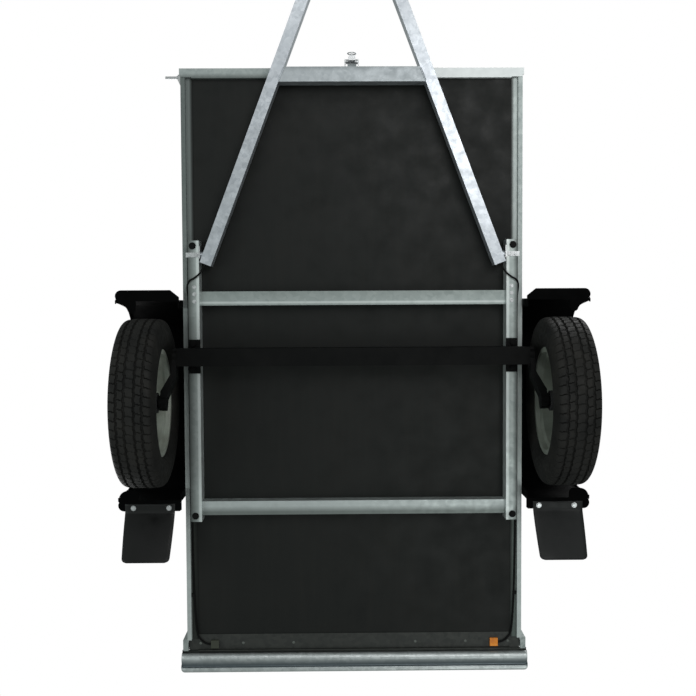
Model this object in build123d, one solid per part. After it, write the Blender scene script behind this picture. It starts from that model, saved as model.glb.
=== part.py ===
from build123d import *
import math
import os

# Single-axle tipping box trailer with a V-shaped drawbar.
# +X is the trailer's right-hand side, +Y is forward to the coupling, +Z is up.
# While parts are made, Y is measured from the wheel centre and Z from the ground.
# Each part is moved back by half of the overall length when it is written.

os.makedirs("parts", exist_ok=True)

# ---------------------------------------------------------------- driving sizes, mm
# body
BODY_WIDTH = 1180.0
BED_AHEAD = 1106.0
BED_BEHIND = 866.0
WALL_HEIGHT = 347.0
FLOOR_THICK = 9.0
FLOOR_EDGE_GAP = 1.5
WALL_SHEET = 1.5
SECTION_SHEET = 2.5
SIDE_LIP_DROP = 16.0
SIDE_LIP_WIDTH = 15.0
SIDE_FLANGE_WIDTH = 38.0
SIDE_WEB_TOP = 56.0
WALL_LIP_OUT = 18.5
WALL_LIP_DOWN = 16.0
SWAGE_DEPTH = 5.0
BOARD_THICK = 22.0
BOARD_EDGE_GAP = 4.0
BOARD_HEM = 14.0
HINGE_ABOVE_FLOOR = 6.0
HINGE_PIN_RADIUS = 4.0
POST_DEPTH = 18.5
POST_WALL = 2.5
POST_LENGTH = 39.0
REAR_RAIL_SETBACK = 9.0
FRONT_SILL_LENGTH = 30.0
FRONT_SILL_DROP = 18.0
SILL_UNDER_FLOOR = 1.0
REAR_SILL_AHEAD = 26.0
LAMP_BAR_LENGTH = 72.0
LAMP_BAR_OVERHANG = 20.0
LAMP_BAR_SHEET = 2.0
# chassis
RAIL_DEPTH = 67.5
RAIL_FLANGE = 38.0
RAIL_SHEET = 3.0
RAIL_INSET = 26.0
RAIL_AHEAD_OF_AXLE = 396.0
RAIL_BEHIND_AXLE = 572.0
CROSSMEMBER_WIDTH = 48.0
CROSSMEMBER_DEPTH = 50.0
CROSSMEMBER_AHEAD = 198.5
CROSSMEMBER_BEHIND = 529.0
# wheels and suspension
TYRE_DIAMETER = 562.0
TYRE_WIDTH = 147.0
TYRE_TO_BODY = 30.5
RIM_HALF_WIDTH = 54.0
RIM_SEAT_RADIUS = 165.1
RIM_FLANGE_RADIUS = 180.0
RIM_OFFSET = 30.0
RIM_SHEET = 3.5
BEAD_WIDTH = 9.0
GROOVE_WIDTH = 7.0
GROOVE_DEPTH = 7.0
ARM_LENGTH = 160.0
ARM_DROP = 57.0
ARM_HEIGHT = 44.0
ARM_THICK = 16.0
ARM_BOSS_RADIUS = 27.0
AXLE_SQUARE = 60.0
AXLE_WALL = 4.0
AXLE_END_PAST_BODY = 6.0
AXLE_MOUNT_THICK = 6.0
MOUNT_OVERHANG = 28.0
TORSION_BAR_SQUARE = 30.0
RUBBER_CORD_RADIUS = 8.0
TORSION_LENGTH = 300.0
SPINDLE_RADIUS = 15.0
BEARING_RADIUS = 20.0
BEARING_WIDTH = 14.0
HUB_RADIUS = 34.0
HUB_FLANGE_RADIUS = 62.0
HUB_FLANGE_THICK = 12.0
BOLT_CIRCLE_RADIUS = 50.0
WHEEL_BOLT_RADIUS = 6.0
# mudguards and flaps
GUARD_THICK = 4.0
GUARD_WIDTH = 216.0
GUARD_REACH = 96.0
GUARD_CLEARANCE = 84.0
GUARD_LIP_HEIGHT = 57.0
GUARD_EAR_RADIUS = 20.0
GUARD_INNER_CUT = 30.0
FLAP_THICK = 5.0
FLAP_WIDTH = 170.0
FLAP_LENGTH = 183.0
FLAP_SLOPE = 32.0
FLAP_OUT = 22.0
# drawbar and coupling
BEAM_WIDTH = 40.0
BEAM_DEPTH = 60.0
BEAM_WALL = 3.0
BEAM_ANGLE = 20.75
BEAM_END_GAP = 4.0
PIVOT_AHEAD_OF_BEAM_END = 32.0
PIVOT_BEHIND_RAIL_END = 49.0
PIVOT_ABOVE_RAIL_BOTTOM = 18.0
PIVOT_BOLT_RADIUS = 6.0
PIVOT_BUSH_RADIUS = 12.0
BRACKET_PLATE = 4.0
NOSE_WIDTH = 60.0
NOSE_BEHIND_MEET = 190.0
NOSE_AHEAD_OF_MEET = 160.0
BALL_AHEAD_OF_MEET = 257.0
BALL_RADIUS = 25.0
BALL_DROP = 9.0
HEAD_SHEET = 4.0
HEAD_LENGTH = 200.0
DRAWBAR_TUBE_LENGTH = 50.0
EYE_HOLE_RADIUS = 7.0
EYE_THICK = 5.0
# latch, pins and wiring
LATCH_WIDTH = 50.0
LATCH_PLATE = 4.0
LATCH_PIN_RADIUS = 4.0
RING_RADIUS = 14.0
RING_WIRE_RADIUS = 2.0
PULL_PIN_RADIUS = 4.5
PULL_PIN_LENGTH = 60.0
PULL_PIN_SETBACK = 6.0
CABLE_RADIUS = 3.25
SAFE_GAP = 0.5
RUNNING_GAP = 0.06
LOOSE_GAP = 0.4

# ---------------------------------------------------------------- worked-out positions
half_width = BODY_WIDTH / 2
wheel_radius = TYRE_DIAMETER / 2
wheel_x = half_width + TYRE_TO_BODY + TYRE_WIDTH / 2
wheel_z = wheel_radius
axle_y = math.sqrt(ARM_LENGTH**2 - ARM_DROP**2)
axle_z = wheel_z + ARM_DROP
axle_top = axle_z + AXLE_SQUARE / 2
rail_bottom = axle_top + AXLE_MOUNT_THICK
rail_top = rail_bottom + RAIL_DEPTH
floor_bottom = rail_top + SECTION_SHEET
floor_top = floor_bottom + FLOOR_THICK
wall_top = floor_top + WALL_HEIGHT
rail_outer = half_width - RAIL_INSET
rail_inner = rail_outer - RAIL_FLANGE
rail_front = axle_y + RAIL_AHEAD_OF_AXLE
rail_rear = axle_y - RAIL_BEHIND_AXLE
panel_outer = half_width - SECTION_SHEET
panel_inner = panel_outer - WALL_SHEET
floor_half = panel_inner - FLOOR_EDGE_GAP
lip_bottom = floor_bottom - SIDE_LIP_DROP
lip_inner = half_width - SIDE_LIP_WIDTH
flange_inner = half_width - SIDE_FLANGE_WIDTH
sill_front_y = BED_AHEAD + 2.0
front_board_inner = BED_AHEAD + 2.0
front_board_outer = front_board_inner + BOARD_THICK
tail_board_inner = -BED_BEHIND - 2.0
tail_board_outer = tail_board_inner - BOARD_THICK
hinge_z = floor_bottom + HINGE_ABOVE_FLOOR
board_half = panel_outer - SAFE_GAP - 1.0
rear_rail_end = -BED_BEHIND + REAR_RAIL_SETBACK
post_rear_end = rear_rail_end - POST_LENGTH
lamp_bar_front = post_rear_end
lamp_bar_rear = lamp_bar_front - LAMP_BAR_LENGTH
lamp_bar_half = half_width + LAMP_BAR_OVERHANG
drawbar_z = rail_bottom + PIVOT_ABOVE_RAIL_BOTTOM
drawbar_bottom = drawbar_z - BEAM_DEPTH / 2
drawbar_top = drawbar_z + BEAM_DEPTH / 2
pivot_y = rail_front - PIVOT_BEHIND_RAIL_END
beam_end_y = pivot_y - PIVOT_AHEAD_OF_BEAM_END
angle = math.radians(BEAM_ANGLE)
beam_end_x = rail_inner - BEAM_END_GAP - BEAM_WIDTH / 2 * math.cos(angle)
meet_y = beam_end_y + beam_end_x / math.tan(angle)
crossbar_y = BED_AHEAD - 3.0
nose_rear = meet_y - NOSE_BEHIND_MEET
nose_front = meet_y + NOSE_AHEAD_OF_MEET
ball_y = meet_y + BALL_AHEAD_OF_MEET
ball_z = drawbar_z - BALL_DROP
head_radius = BALL_RADIUS + 0.5 + HEAD_SHEET
overall_front = ball_y + head_radius + 4.0
middle_y = (overall_front + lamp_bar_rear) / 2


# ---------------------------------------------------------------- shape helpers
def block(x0, x1, y0, y1, z0, z1):
    """Box between two corners."""
    centre = ((x0 + x1) / 2, (y0 + y1) / 2, (z0 + z1) / 2)
    return Pos(*centre) * Box(abs(x1 - x0), abs(y1 - y0), abs(z1 - z0))


def rod_x(x0, x1, y, z, radius):
    """Round bar along X."""
    turned = Rotation(0, 90, 0) * Cylinder(radius, abs(x1 - x0))
    return Pos((x0 + x1) / 2, y, z) * turned


def rod_y(y0, y1, x, z, radius):
    """Round bar along Y."""
    turned = Rotation(90, 0, 0) * Cylinder(radius, abs(y1 - y0))
    return Pos(x, (y0 + y1) / 2, z) * turned


def rod_z(z0, z1, x, y, radius):
    """Round bar along Z."""
    return Pos(x, y, (z0 + z1) / 2) * Cylinder(radius, abs(z1 - z0))


def section_x(points, x0, x1):
    """Outline given as (y, z) points, drawn out along X."""
    face = Plane.YZ.offset(min(x0, x1)) * make_face(Polyline(*points, close=True))
    return extrude(face, amount=abs(x1 - x0), dir=(1, 0, 0))


def section_y(points, y0, y1):
    """Outline given as (x, z) points, drawn out along Y."""
    face = Plane.XZ.offset(-min(y0, y1)) * make_face(Polyline(*points, close=True))
    return extrude(face, amount=abs(y1 - y0), dir=(0, 1, 0))


def section_z(points, z0, z1):
    """Outline given as (x, y) points, drawn out along Z."""
    face = Plane.XY.offset(min(z0, z1)) * make_face(Polyline(*points, close=True))
    return extrude(face, amount=abs(z1 - z0), dir=(0, 0, 1))


def turned_x(points, x, y, z):
    """Outline given as (offset along X, radius) points, spun about an X axis."""
    face = Plane.XY * make_face(Polyline(*points, close=True))
    return Pos(x, y, z) * revolve(face, Axis.X, 360)


def other_side(shape):
    """The same shape on the left-hand side."""
    return mirror(shape, about=Plane.YZ)


def both_sides(shapes):
    """Shapes on the right with their left-hand twins."""
    return list(shapes) + [other_side(shape) for shape in shapes]


def save(name, shapes):
    """Write one node, moved so that the overall length is centred on the origin."""
    solids = []
    for shape in shapes:
        solids.extend(shape.solids())
    moved = [solid.moved(Location((0, -middle_y, 0))) for solid in solids]
    node = moved[0] if len(moved) == 1 else Compound(children=moved)
    node.label = name
    export_step(node, "parts/" + name + ".step")


# ---------------------------------------------------------------- floor and side walls
# The plywood floor lies on the side sections, sills and crossmembers.
floor = block(-floor_half, floor_half, -BED_BEHIND, BED_AHEAD, floor_bottom, floor_top)
save("floor_panel", [floor])

# Each side section is a folded channel with a stepped outer lip and a floor flange.
side_section = [
    (half_width, lip_bottom),
    (half_width, floor_bottom + SIDE_WEB_TOP),
    (panel_outer, floor_bottom + SIDE_WEB_TOP),
    (panel_outer, lip_bottom + SECTION_SHEET),
    (lip_inner + SECTION_SHEET, lip_bottom + SECTION_SHEET),
    (lip_inner + SECTION_SHEET, floor_bottom),
    (flange_inner, floor_bottom),
    (flange_inner, rail_top),
    (lip_inner, rail_top),
    (lip_inner, lip_bottom),
]
side_rail = section_y(side_section, rear_rail_end, sill_front_y)
save("side_rails", both_sides([side_rail]))

# Each side wall is sheet with one pressed rib and a rolled top edge.
rib_low = wall_top - 110.0
rib_high = wall_top - 60.0
side_wall_section = [
    (panel_inner, lip_bottom + SECTION_SHEET),
    (panel_outer, lip_bottom + SECTION_SHEET),
    (panel_outer, rib_low),
    (panel_outer + SWAGE_DEPTH, rib_low + SWAGE_DEPTH * 2),
    (panel_outer + SWAGE_DEPTH, rib_high - SWAGE_DEPTH * 2),
    (panel_outer, rib_high),
    (panel_outer, wall_top - WALL_SHEET),
    (panel_outer + WALL_LIP_OUT - WALL_SHEET, wall_top - WALL_SHEET),
    (panel_outer + WALL_LIP_OUT - WALL_SHEET, wall_top - WALL_LIP_DOWN),
    (panel_outer + WALL_LIP_OUT, wall_top - WALL_LIP_DOWN),
    (panel_outer + WALL_LIP_OUT, wall_top),
    (panel_inner, wall_top),
    (panel_inner, rib_high),
    (panel_inner + SWAGE_DEPTH, rib_high - SWAGE_DEPTH * 2),
    (panel_inner + SWAGE_DEPTH, rib_low + SWAGE_DEPTH * 2),
    (panel_inner, rib_low),
]
wall_rear = -BED_BEHIND
wall_front = sill_front_y
side_wall = section_y(side_wall_section, wall_rear, wall_front)
save("side_panel_right", [side_wall])
save("side_panel_left", [other_side(side_wall)])

# ---------------------------------------------------------------- sills and lamp bar
# The front sill is a channel under the front board. Its rear web carries the floor's edge.
sill_bottom = floor_bottom - FRONT_SILL_DROP
sill_outer_y = sill_front_y + FRONT_SILL_LENGTH
sill_rear_y = BED_AHEAD - SILL_UNDER_FLOOR
sill_lip_top = floor_bottom + 2.0
front_section = [
    (sill_rear_y, sill_bottom),
    (sill_outer_y, sill_bottom),
    (sill_outer_y, sill_lip_top),
    (sill_outer_y - SECTION_SHEET, sill_lip_top),
    (sill_outer_y - SECTION_SHEET, sill_bottom + SECTION_SHEET),
    (sill_rear_y + SECTION_SHEET, sill_bottom + SECTION_SHEET),
    (sill_rear_y + SECTION_SHEET, floor_bottom),
    (sill_rear_y, floor_bottom),
]
front_sill = section_x(front_section, -half_width, half_width)
sill_notch = block(
    flange_inner - SAFE_GAP,
    half_width + 5.0,
    sill_rear_y - 1.0,
    sill_front_y,
    sill_bottom - 1.0,
    sill_lip_top + 1.0,
)
hinge_lug = block(
    half_width,
    half_width + BOARD_EDGE_GAP,
    front_board_outer - 14.0,
    front_board_outer + 8.0,
    sill_bottom,
    hinge_z + 14.0,
)
hinge_hole_radius = HINGE_PIN_RADIUS + RUNNING_GAP
hinge_reach = half_width + BOARD_EDGE_GAP + 40.0
front_hinge_hole = rod_x(-hinge_reach, hinge_reach, front_board_outer, hinge_z, hinge_hole_radius)
front_sill = front_sill - sill_notch - other_side(sill_notch)
front_sill = front_sill + hinge_lug + other_side(hinge_lug) - front_hinge_hole
save("front_sill", [front_sill])

# The rear sill is a flat strip below the floor's end with a turned-down edge.
rear_flange = block(
    -flange_inner + SAFE_GAP,
    flange_inner - SAFE_GAP,
    lamp_bar_front,
    -BED_BEHIND + REAR_SILL_AHEAD,
    rail_top,
    floor_bottom,
)
rear_web = block(
    -flange_inner + SAFE_GAP,
    flange_inner - SAFE_GAP,
    lamp_bar_front,
    lamp_bar_front + SECTION_SHEET,
    lip_bottom + 2.0,
    floor_bottom,
)
rear_corner = block(
    flange_inner - SAFE_GAP,
    panel_inner - SAFE_GAP,
    lamp_bar_front,
    rear_rail_end - SAFE_GAP,
    rail_top,
    floor_bottom,
)
save("rear_sill", [rear_flange + rear_web + rear_corner + other_side(rear_corner)])

# The lamp bar is one folded section with a recessed band along its underside.
bar_top = floor_bottom
bar_section = [
    (lamp_bar_front, bar_top),
    (lamp_bar_front, bar_top - 15.0),
    (lamp_bar_front - 18.0, bar_top - 27.0),
    (lamp_bar_front - 19.0, bar_top - 20.0),
    (lamp_bar_front - 35.0, bar_top - 20.0),
    (lamp_bar_front - 36.0, bar_top - 33.0),
    (lamp_bar_front - 52.0, bar_top - 38.0),
    (lamp_bar_front - 64.0, bar_top - 36.0),
    (lamp_bar_rear, bar_top - 28.0),
    (lamp_bar_rear, bar_top - 4.0),
    (lamp_bar_rear + 4.0, bar_top),
]
bar_face = make_face(Polyline(*bar_section, close=True))
bar_skin = bar_face - offset(bar_face, -LAMP_BAR_SHEET)
bar_skin_placed = Plane.YZ.offset(-lamp_bar_half) * bar_skin
lamp_bar = extrude(bar_skin_placed, amount=2 * lamp_bar_half, dir=(1, 0, 0))
bar_end = section_x(bar_section, lamp_bar_half - LAMP_BAR_SHEET, lamp_bar_half)
LAMP_LENGTH = 230.0
LAMP_HEIGHT = 22.0
LAMP_INSET = 30.0
lamp_outer_x = half_width - LAMP_INSET
lamp_inner_x = lamp_outer_x - LAMP_LENGTH
lamp_top = bar_top - 4.5
lamp_bottom = lamp_top - LAMP_HEIGHT
lamp_pocket = block(
    lamp_inner_x,
    lamp_outer_x,
    lamp_bar_rear - 1.0,
    lamp_bar_rear + LAMP_BAR_SHEET + 1.0,
    lamp_bottom,
    lamp_top,
)
lamp_bar = lamp_bar + bar_end + other_side(bar_end)
lamp_bar = lamp_bar - lamp_pocket - other_side(lamp_pocket)
save("lamp_bar", [lamp_bar])

# Lamps: a housing inside the bar with a red lens showing at the rear, and a small
# amber marker lens below the rear sill.
lens_thick = 3.0
housing_depth = 24.0
red_front = lamp_bar_rear + LAMP_BAR_SHEET
red_lens = block(
    lamp_inner_x,
    lamp_outer_x,
    lamp_bar_rear,
    lamp_bar_rear + lens_thick,
    lamp_bottom,
    lamp_top,
)
housing = block(
    lamp_inner_x,
    lamp_outer_x,
    lamp_bar_rear + lens_thick,
    lamp_bar_rear + lens_thick + housing_depth,
    lamp_bottom,
    lamp_top,
)
housing_hollow = block(
    lamp_inner_x + 2.0,
    lamp_outer_x - 2.0,
    lamp_bar_rear + lens_thick,
    lamp_bar_rear + lens_thick + housing_depth - 2.0,
    lamp_bottom + 2.0,
    lamp_top - 2.0,
)
housing = housing - housing_hollow
save("tail_lamp_housings", both_sides([housing]))
save("tail_lamp_red_lenses", both_sides([red_lens]))
MARKER_SIZE = 28.0
MARKER_THICK = 9.0
MARKER_X = 494.0
marker_x = MARKER_X * BODY_WIDTH / 1180.0
marker_y = -BED_BEHIND - 8.0
marker = block(
    marker_x - MARKER_SIZE / 2,
    marker_x + MARKER_SIZE / 2,
    marker_y - MARKER_SIZE / 2,
    marker_y + MARKER_SIZE / 2,
    rail_top - MARKER_THICK,
    rail_top,
)
save("tail_lamp_amber_lenses", both_sides([marker]))

# ---------------------------------------------------------------- corner posts
# Rear posts are folded channels that reach down to the lamp bar; front posts start higher.
post_outer = panel_outer + POST_DEPTH
rear_post_box = block(
    panel_outer, post_outer, post_rear_end, rear_rail_end, lip_bottom + 2.0, wall_top - WALL_LIP_DOWN - 1.0
)
rear_post_hollow = block(
    panel_outer + POST_WALL,
    post_outer - POST_WALL,
    post_rear_end + POST_WALL,
    rear_rail_end - POST_WALL,
    lip_bottom + 2.0 + POST_WALL,
    wall_top,
)
tail_hinge_hole = rod_x(panel_outer - 1.0, panel_outer + POST_WALL + 2.0, tail_board_outer, hinge_z, hinge_hole_radius)
rear_post = rear_post_box - rear_post_hollow - tail_hinge_hole - side_wall
front_post_bottom = floor_bottom + SIDE_WEB_TOP + 60.0
front_post_box = block(
    panel_outer,
    post_outer,
    front_board_outer - POST_LENGTH,
    front_board_outer,
    front_post_bottom,
    wall_top - WALL_LIP_DOWN - 1.0,
)
front_post_hollow = block(
    panel_outer + POST_WALL,
    post_outer - POST_WALL,
    front_board_outer - POST_LENGTH + POST_WALL,
    front_board_outer - POST_WALL,
    front_post_bottom - 5.0,
    wall_top,
)
front_post = front_post_box - front_post_hollow - side_wall
save("corner_posts", both_sides([rear_post, front_post]))


# ---------------------------------------------------------------- end boards
def end_board(outer_y, inward, pin_end):
    """Pressed sheet board with rolled edges, three ribs and a hinge pin at each lower corner."""
    inner_y = outer_y + inward * BOARD_THICK
    bottom = hinge_z + 1.0
    body = block(-board_half, board_half, outer_y, inner_y, bottom, wall_top)
    deep = block(
        -board_half + BOARD_HEM,
        board_half - BOARD_HEM,
        outer_y - inward * 1.0,
        inner_y - inward * WALL_SHEET,
        bottom + BOARD_HEM,
        wall_top - BOARD_HEM,
    )
    body = body - deep
    rib_gap = (wall_top - bottom) / 4
    for number in range(1, 4):
        rib_z = bottom + number * rib_gap
        rib = block(
            -board_half + BOARD_HEM,
            board_half - BOARD_HEM,
            outer_y + inward * 10.0,
            inner_y,
            rib_z - 8.0,
            rib_z + 8.0,
        )
        body = body + rib
    for side in (-1, 1):
        pin = rod_x(side * (board_half - 30.0), side * pin_end, outer_y, hinge_z, HINGE_PIN_RADIUS)
        knuckle = block(
            side * (board_half - 30.0),
            side * board_half,
            outer_y,
            outer_y + inward * 8.0,
            hinge_z,
            bottom + BOARD_HEM,
        )
        barrel = rod_x(side * (board_half - 30.0), side * board_half, outer_y, hinge_z, 3.0)
        body = body + pin + knuckle + barrel
        pad = block(
            side * (board_half - 70.0),
            side * (board_half - BOARD_HEM + 1.0),
            outer_y,
            inner_y,
            latch_z - 24.0,
            latch_z + 24.0,
        )
        body = body + pad
    return body


latch_z = wall_top - 90.0
tail_board = end_board(tail_board_outer, 1, panel_outer + POST_WALL)
front_board = end_board(front_board_outer, -1, half_width + BOARD_EDGE_GAP)
save("tailboard", [tail_board])
save("front_board", [front_board])


# Each board has a turn latch near each upper corner: a boss, a tongue and a grip.
LATCH_BOSS_RADIUS = 10.0
LEVER_THICK = 5.0
LATCH_IN = 36.0


def turn_latch(side, face_y, outward, reach_past):
    """Lever on a boss; its tongue lies over the post, its grip points inward."""
    boss_x = side * (board_half - LATCH_IN)
    start = face_y + outward * SAFE_GAP
    lever_start = face_y + outward * reach_past
    lever_end = lever_start + outward * LEVER_THICK
    boss = rod_y(start, lever_end, boss_x, latch_z, LATCH_BOSS_RADIUS)
    tongue = block(boss_x, boss_x + side * (LATCH_IN + 14.0), lever_start, lever_end, latch_z - 8.0, latch_z + 8.0)
    grip = block(boss_x, boss_x - side * 60.0, lever_start, lever_end, latch_z - 6.0, latch_z + 6.0)
    knob = rod_y(lever_start, lever_end + outward * 8.0, boss_x - side * 60.0, latch_z, 8.0)
    return boss + tongue + grip + knob


rear_reach = abs(post_rear_end - tail_board_outer) + SAFE_GAP + 0.5
save("tail_latch_right", [turn_latch(1, tail_board_outer, -1, rear_reach)])
save("tail_latch_left", [turn_latch(-1, tail_board_outer, -1, rear_reach)])
save("front_latch_right", [turn_latch(1, front_board_outer, 1, SAFE_GAP + 1.0)])
save("front_latch_left", [turn_latch(-1, front_board_outer, 1, SAFE_GAP + 1.0)])

# ---------------------------------------------------------------- pull pin at the right front corner
# A tapered block stands on the side section and guides a plain steel pin past the board.
pin_y = front_board_outer - 11.0
pin_z = floor_bottom + 38.0
plate_thick = 15.0
pin_plate_outline = [
    (half_width, pin_y + 8.0),
    (half_width + plate_thick, pin_y + 8.0),
    (half_width + plate_thick, pin_y - 12.0),
    (half_width, pin_y - 44.0),
]
pin_plate = section_z(pin_plate_outline, pin_z - 12.0, pin_z + 12.0)
pin_plate = pin_plate - rod_x(half_width - 1.0, half_width + plate_thick + 1.0, pin_y, pin_z, PULL_PIN_RADIUS + RUNNING_GAP)
save("pin_plate", [pin_plate])
pull_pin = rod_x(half_width + PULL_PIN_SETBACK, half_width + PULL_PIN_LENGTH, pin_y, pin_z, PULL_PIN_RADIUS)
pin_collar = rod_x(half_width + plate_thick + SAFE_GAP, half_width + plate_thick + 4.5, pin_y, pin_z, 7.0)
save("front_board_pin", [pull_pin + pin_collar])

# ---------------------------------------------------------------- chassis frame
# Each rail is a channel that opens outward, below the side section.
rail_section = [
    (rail_inner, rail_bottom),
    (rail_outer, rail_bottom),
    (rail_outer, rail_bottom + RAIL_SHEET),
    (rail_inner + RAIL_SHEET, rail_bottom + RAIL_SHEET),
    (rail_inner + RAIL_SHEET, rail_top - RAIL_SHEET),
    (rail_outer, rail_top - RAIL_SHEET),
    (rail_outer, rail_top),
    (rail_inner, rail_top),
]
bolt_hole_radius = PIVOT_BOLT_RADIUS + RUNNING_GAP
rail = section_y(rail_section, rail_rear, rail_front)
rail = rail - rod_x(rail_inner - 1.0, rail_inner + RAIL_SHEET + 1.0, pivot_y, drawbar_z, bolt_hole_radius)
save("chassis_rails", both_sides([rail]))


def crossmember(centre_y):
    """Channel open to the rear, with a small lip on each flange, between the rails."""
    front = centre_y + CROSSMEMBER_WIDTH / 2
    rear = centre_y - CROSSMEMBER_WIDTH / 2
    bottom = floor_bottom - CROSSMEMBER_DEPTH
    sheet = SECTION_SHEET
    outline = [
        (front, bottom),
        (front, floor_bottom),
        (rear, floor_bottom),
        (rear, floor_bottom - 12.0),
        (rear + sheet, floor_bottom - 12.0),
        (rear + sheet, floor_bottom - sheet),
        (front - sheet, floor_bottom - sheet),
        (front - sheet, bottom + sheet),
        (rear + sheet, bottom + sheet),
        (rear + sheet, bottom + 12.0),
        (rear, bottom + 12.0),
        (rear, bottom),
    ]
    return section_x(outline, -rail_inner, rail_inner)


save("crossmembers", [crossmember(axle_y + CROSSMEMBER_AHEAD), crossmember(axle_y - CROSSMEMBER_BEHIND)])

# Tilt brackets: a cheek welded to each rail's web with a foot below the rail. The pivot
# bolt goes in from the rail's open side and ends inside the beam's bush.
bracket_inner = rail_inner - BRACKET_PLATE
bracket_bottom = rail_bottom - 3.0
beam_inner_x = beam_end_x - PIVOT_AHEAD_OF_BEAM_END * math.tan(angle) - BEAM_WIDTH / 2 / math.cos(angle)
cheek = block(bracket_inner, rail_inner, pivot_y - 12.0, pivot_y + 30.0, bracket_bottom, drawbar_top + 2.0)
cheek = cheek - rod_x(bracket_inner - 1.0, rail_inner + 1.0, pivot_y, drawbar_z, bolt_hole_radius)
foot = block(bracket_inner, rail_outer + 6.0, pivot_y - 8.0, pivot_y + 8.0, bracket_bottom, rail_bottom)
save("tilt_brackets", both_sides([cheek + foot]))

pivot_bolt = rod_x(beam_inner_x + 4.0, rail_inner + RAIL_SHEET + 12.0, pivot_y, drawbar_z, PIVOT_BOLT_RADIUS)
pivot_head = rod_x(rail_inner + RAIL_SHEET, rail_inner + RAIL_SHEET + 11.0, pivot_y, drawbar_z, 11.0)
save("tilt_pivot_bolts", both_sides([pivot_bolt + pivot_head]))

# ---------------------------------------------------------------- axle and suspension
axle_end = half_width + AXLE_END_PAST_BODY
axle_low = axle_z - AXLE_SQUARE / 2
axle_front = axle_y + AXLE_SQUARE / 2
axle_back = axle_y - AXLE_SQUARE / 2
axle_inner_half = AXLE_SQUARE / 2 - AXLE_WALL
axle_tube = block(-axle_end, axle_end, axle_back, axle_front, axle_low, axle_top)
axle_tube = axle_tube - block(
    -axle_end - 1.0,
    axle_end + 1.0,
    axle_back + AXLE_WALL,
    axle_front - AXLE_WALL,
    axle_low + AXLE_WALL,
    axle_top - AXLE_WALL,
)
save("axle_tube", [axle_tube])

mount_plate = block(rail_inner - 2.0, rail_outer, axle_back - MOUNT_OVERHANG, axle_front + MOUNT_OVERHANG, axle_top, rail_bottom)
save("axle_mounts", both_sides([mount_plate]))

cord_offset = axle_inner_half - RUBBER_CORD_RADIUS
cords = []
for side_y in (-1, 1):
    for side_z in (-1, 1):
        cords.append(
            rod_x(
                axle_end - TORSION_LENGTH,
                axle_end - 8.0,
                axle_y + side_y * cord_offset,
                axle_z + side_z * cord_offset,
                RUBBER_CORD_RADIUS,
            )
        )
save("rubber_cords", both_sides(cords))

# Swing arm: square torsion bar, cranked forging and stub spindle.
along = Vector(0, -axle_y, -ARM_DROP) / ARM_LENGTH
across = Vector(0, -ARM_DROP, axle_y) / ARM_LENGTH
arm_plane = Plane(origin=(0, axle_y, axle_z), x_dir=along, z_dir=across)
arm_start_x = axle_end + LOOSE_GAP
arm_face_x = arm_start_x + ARM_THICK
hub_back_x = wheel_x + RIM_OFFSET - HUB_FLANGE_THICK - 57.0
arm_hub_x = hub_back_x - 10.0
arm_outline = [
    (-24.0, arm_start_x),
    (-24.0, arm_face_x),
    (62.0, arm_face_x),
    (ARM_LENGTH - 34.0, arm_hub_x),
    (ARM_LENGTH + 22.0, arm_hub_x),
    (ARM_LENGTH + 22.0, arm_hub_x - 20.0),
    (ARM_LENGTH - 18.0, arm_hub_x - 22.0),
    (70.0, arm_start_x),
]
arm_body = extrude(arm_plane * make_face(Polyline(*arm_outline, close=True)), amount=ARM_HEIGHT / 2, both=True)
bar_start = axle_end - TORSION_LENGTH
bar_length = arm_start_x - bar_start + 2.0
torsion_bar = Pos((bar_start + arm_start_x + 2.0) / 2, axle_y, axle_z) * (
    Rotation(45, 0, 0) * Box(bar_length, TORSION_BAR_SQUARE, TORSION_BAR_SQUARE)
)
outer_bearing_x = wheel_x + RIM_OFFSET - 2.0
spindle_end = outer_bearing_x + BEARING_WIDTH + 10.0
spindle = rod_x(arm_hub_x - 10.0, spindle_end, 0, wheel_z, SPINDLE_RADIUS)
spindle_boss = rod_x(arm_hub_x - 20.0, arm_hub_x + 4.0, 0, wheel_z, 26.0)
spindle_nut = rod_x(outer_bearing_x + BEARING_WIDTH + SAFE_GAP, spindle_end - 1.0, 0, wheel_z, 18.0)
arm_boss = rod_x(arm_start_x, arm_face_x, axle_y, axle_z, ARM_BOSS_RADIUS)
swing_arm = arm_body + arm_boss + torsion_bar + spindle_boss + spindle + spindle_nut
save("swing_arm_right", [swing_arm])
save("swing_arm_left", [other_side(swing_arm)])

# ---------------------------------------------------------------- wheels
flange_in = RIM_HALF_WIDTH - 4.0
seat_slope = 2.9 / (flange_in - 36.0)
bead_in = flange_in - BEAD_WIDTH
well = RIM_SEAT_RADIUS - 13.1
inner_well = well - RIM_SHEET - 1.0
seat_edge = RIM_SEAT_RADIUS + 2.9
rim_outline = [
    (-RIM_HALF_WIDTH, RIM_FLANGE_RADIUS),
    (-flange_in, RIM_FLANGE_RADIUS),
    (-flange_in, seat_edge),
    (-36.0, RIM_SEAT_RADIUS),
    (-30.0, well),
    (30.0, well),
    (36.0, RIM_SEAT_RADIUS),
    (flange_in, seat_edge),
    (flange_in, RIM_FLANGE_RADIUS),
    (RIM_HALF_WIDTH, RIM_FLANGE_RADIUS),
    (RIM_HALF_WIDTH, seat_edge - 4.0),
    (39.0, RIM_SEAT_RADIUS - 4.1),
    (33.0, inner_well),
    (14.0, inner_well),
    (20.0, 112.0),
    (RIM_OFFSET + 4.0, 95.0),
    (RIM_OFFSET + 4.0, 29.0),
    (RIM_OFFSET, 29.0),
    (RIM_OFFSET, 92.0),
    (16.0, 108.0),
    (9.5, inner_well),
    (-33.0, inner_well),
    (-39.0, RIM_SEAT_RADIUS - 4.1),
    (-RIM_HALF_WIDTH, seat_edge - 4.0),
]
rim = turned_x(rim_outline, wheel_x, 0, wheel_z)
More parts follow.
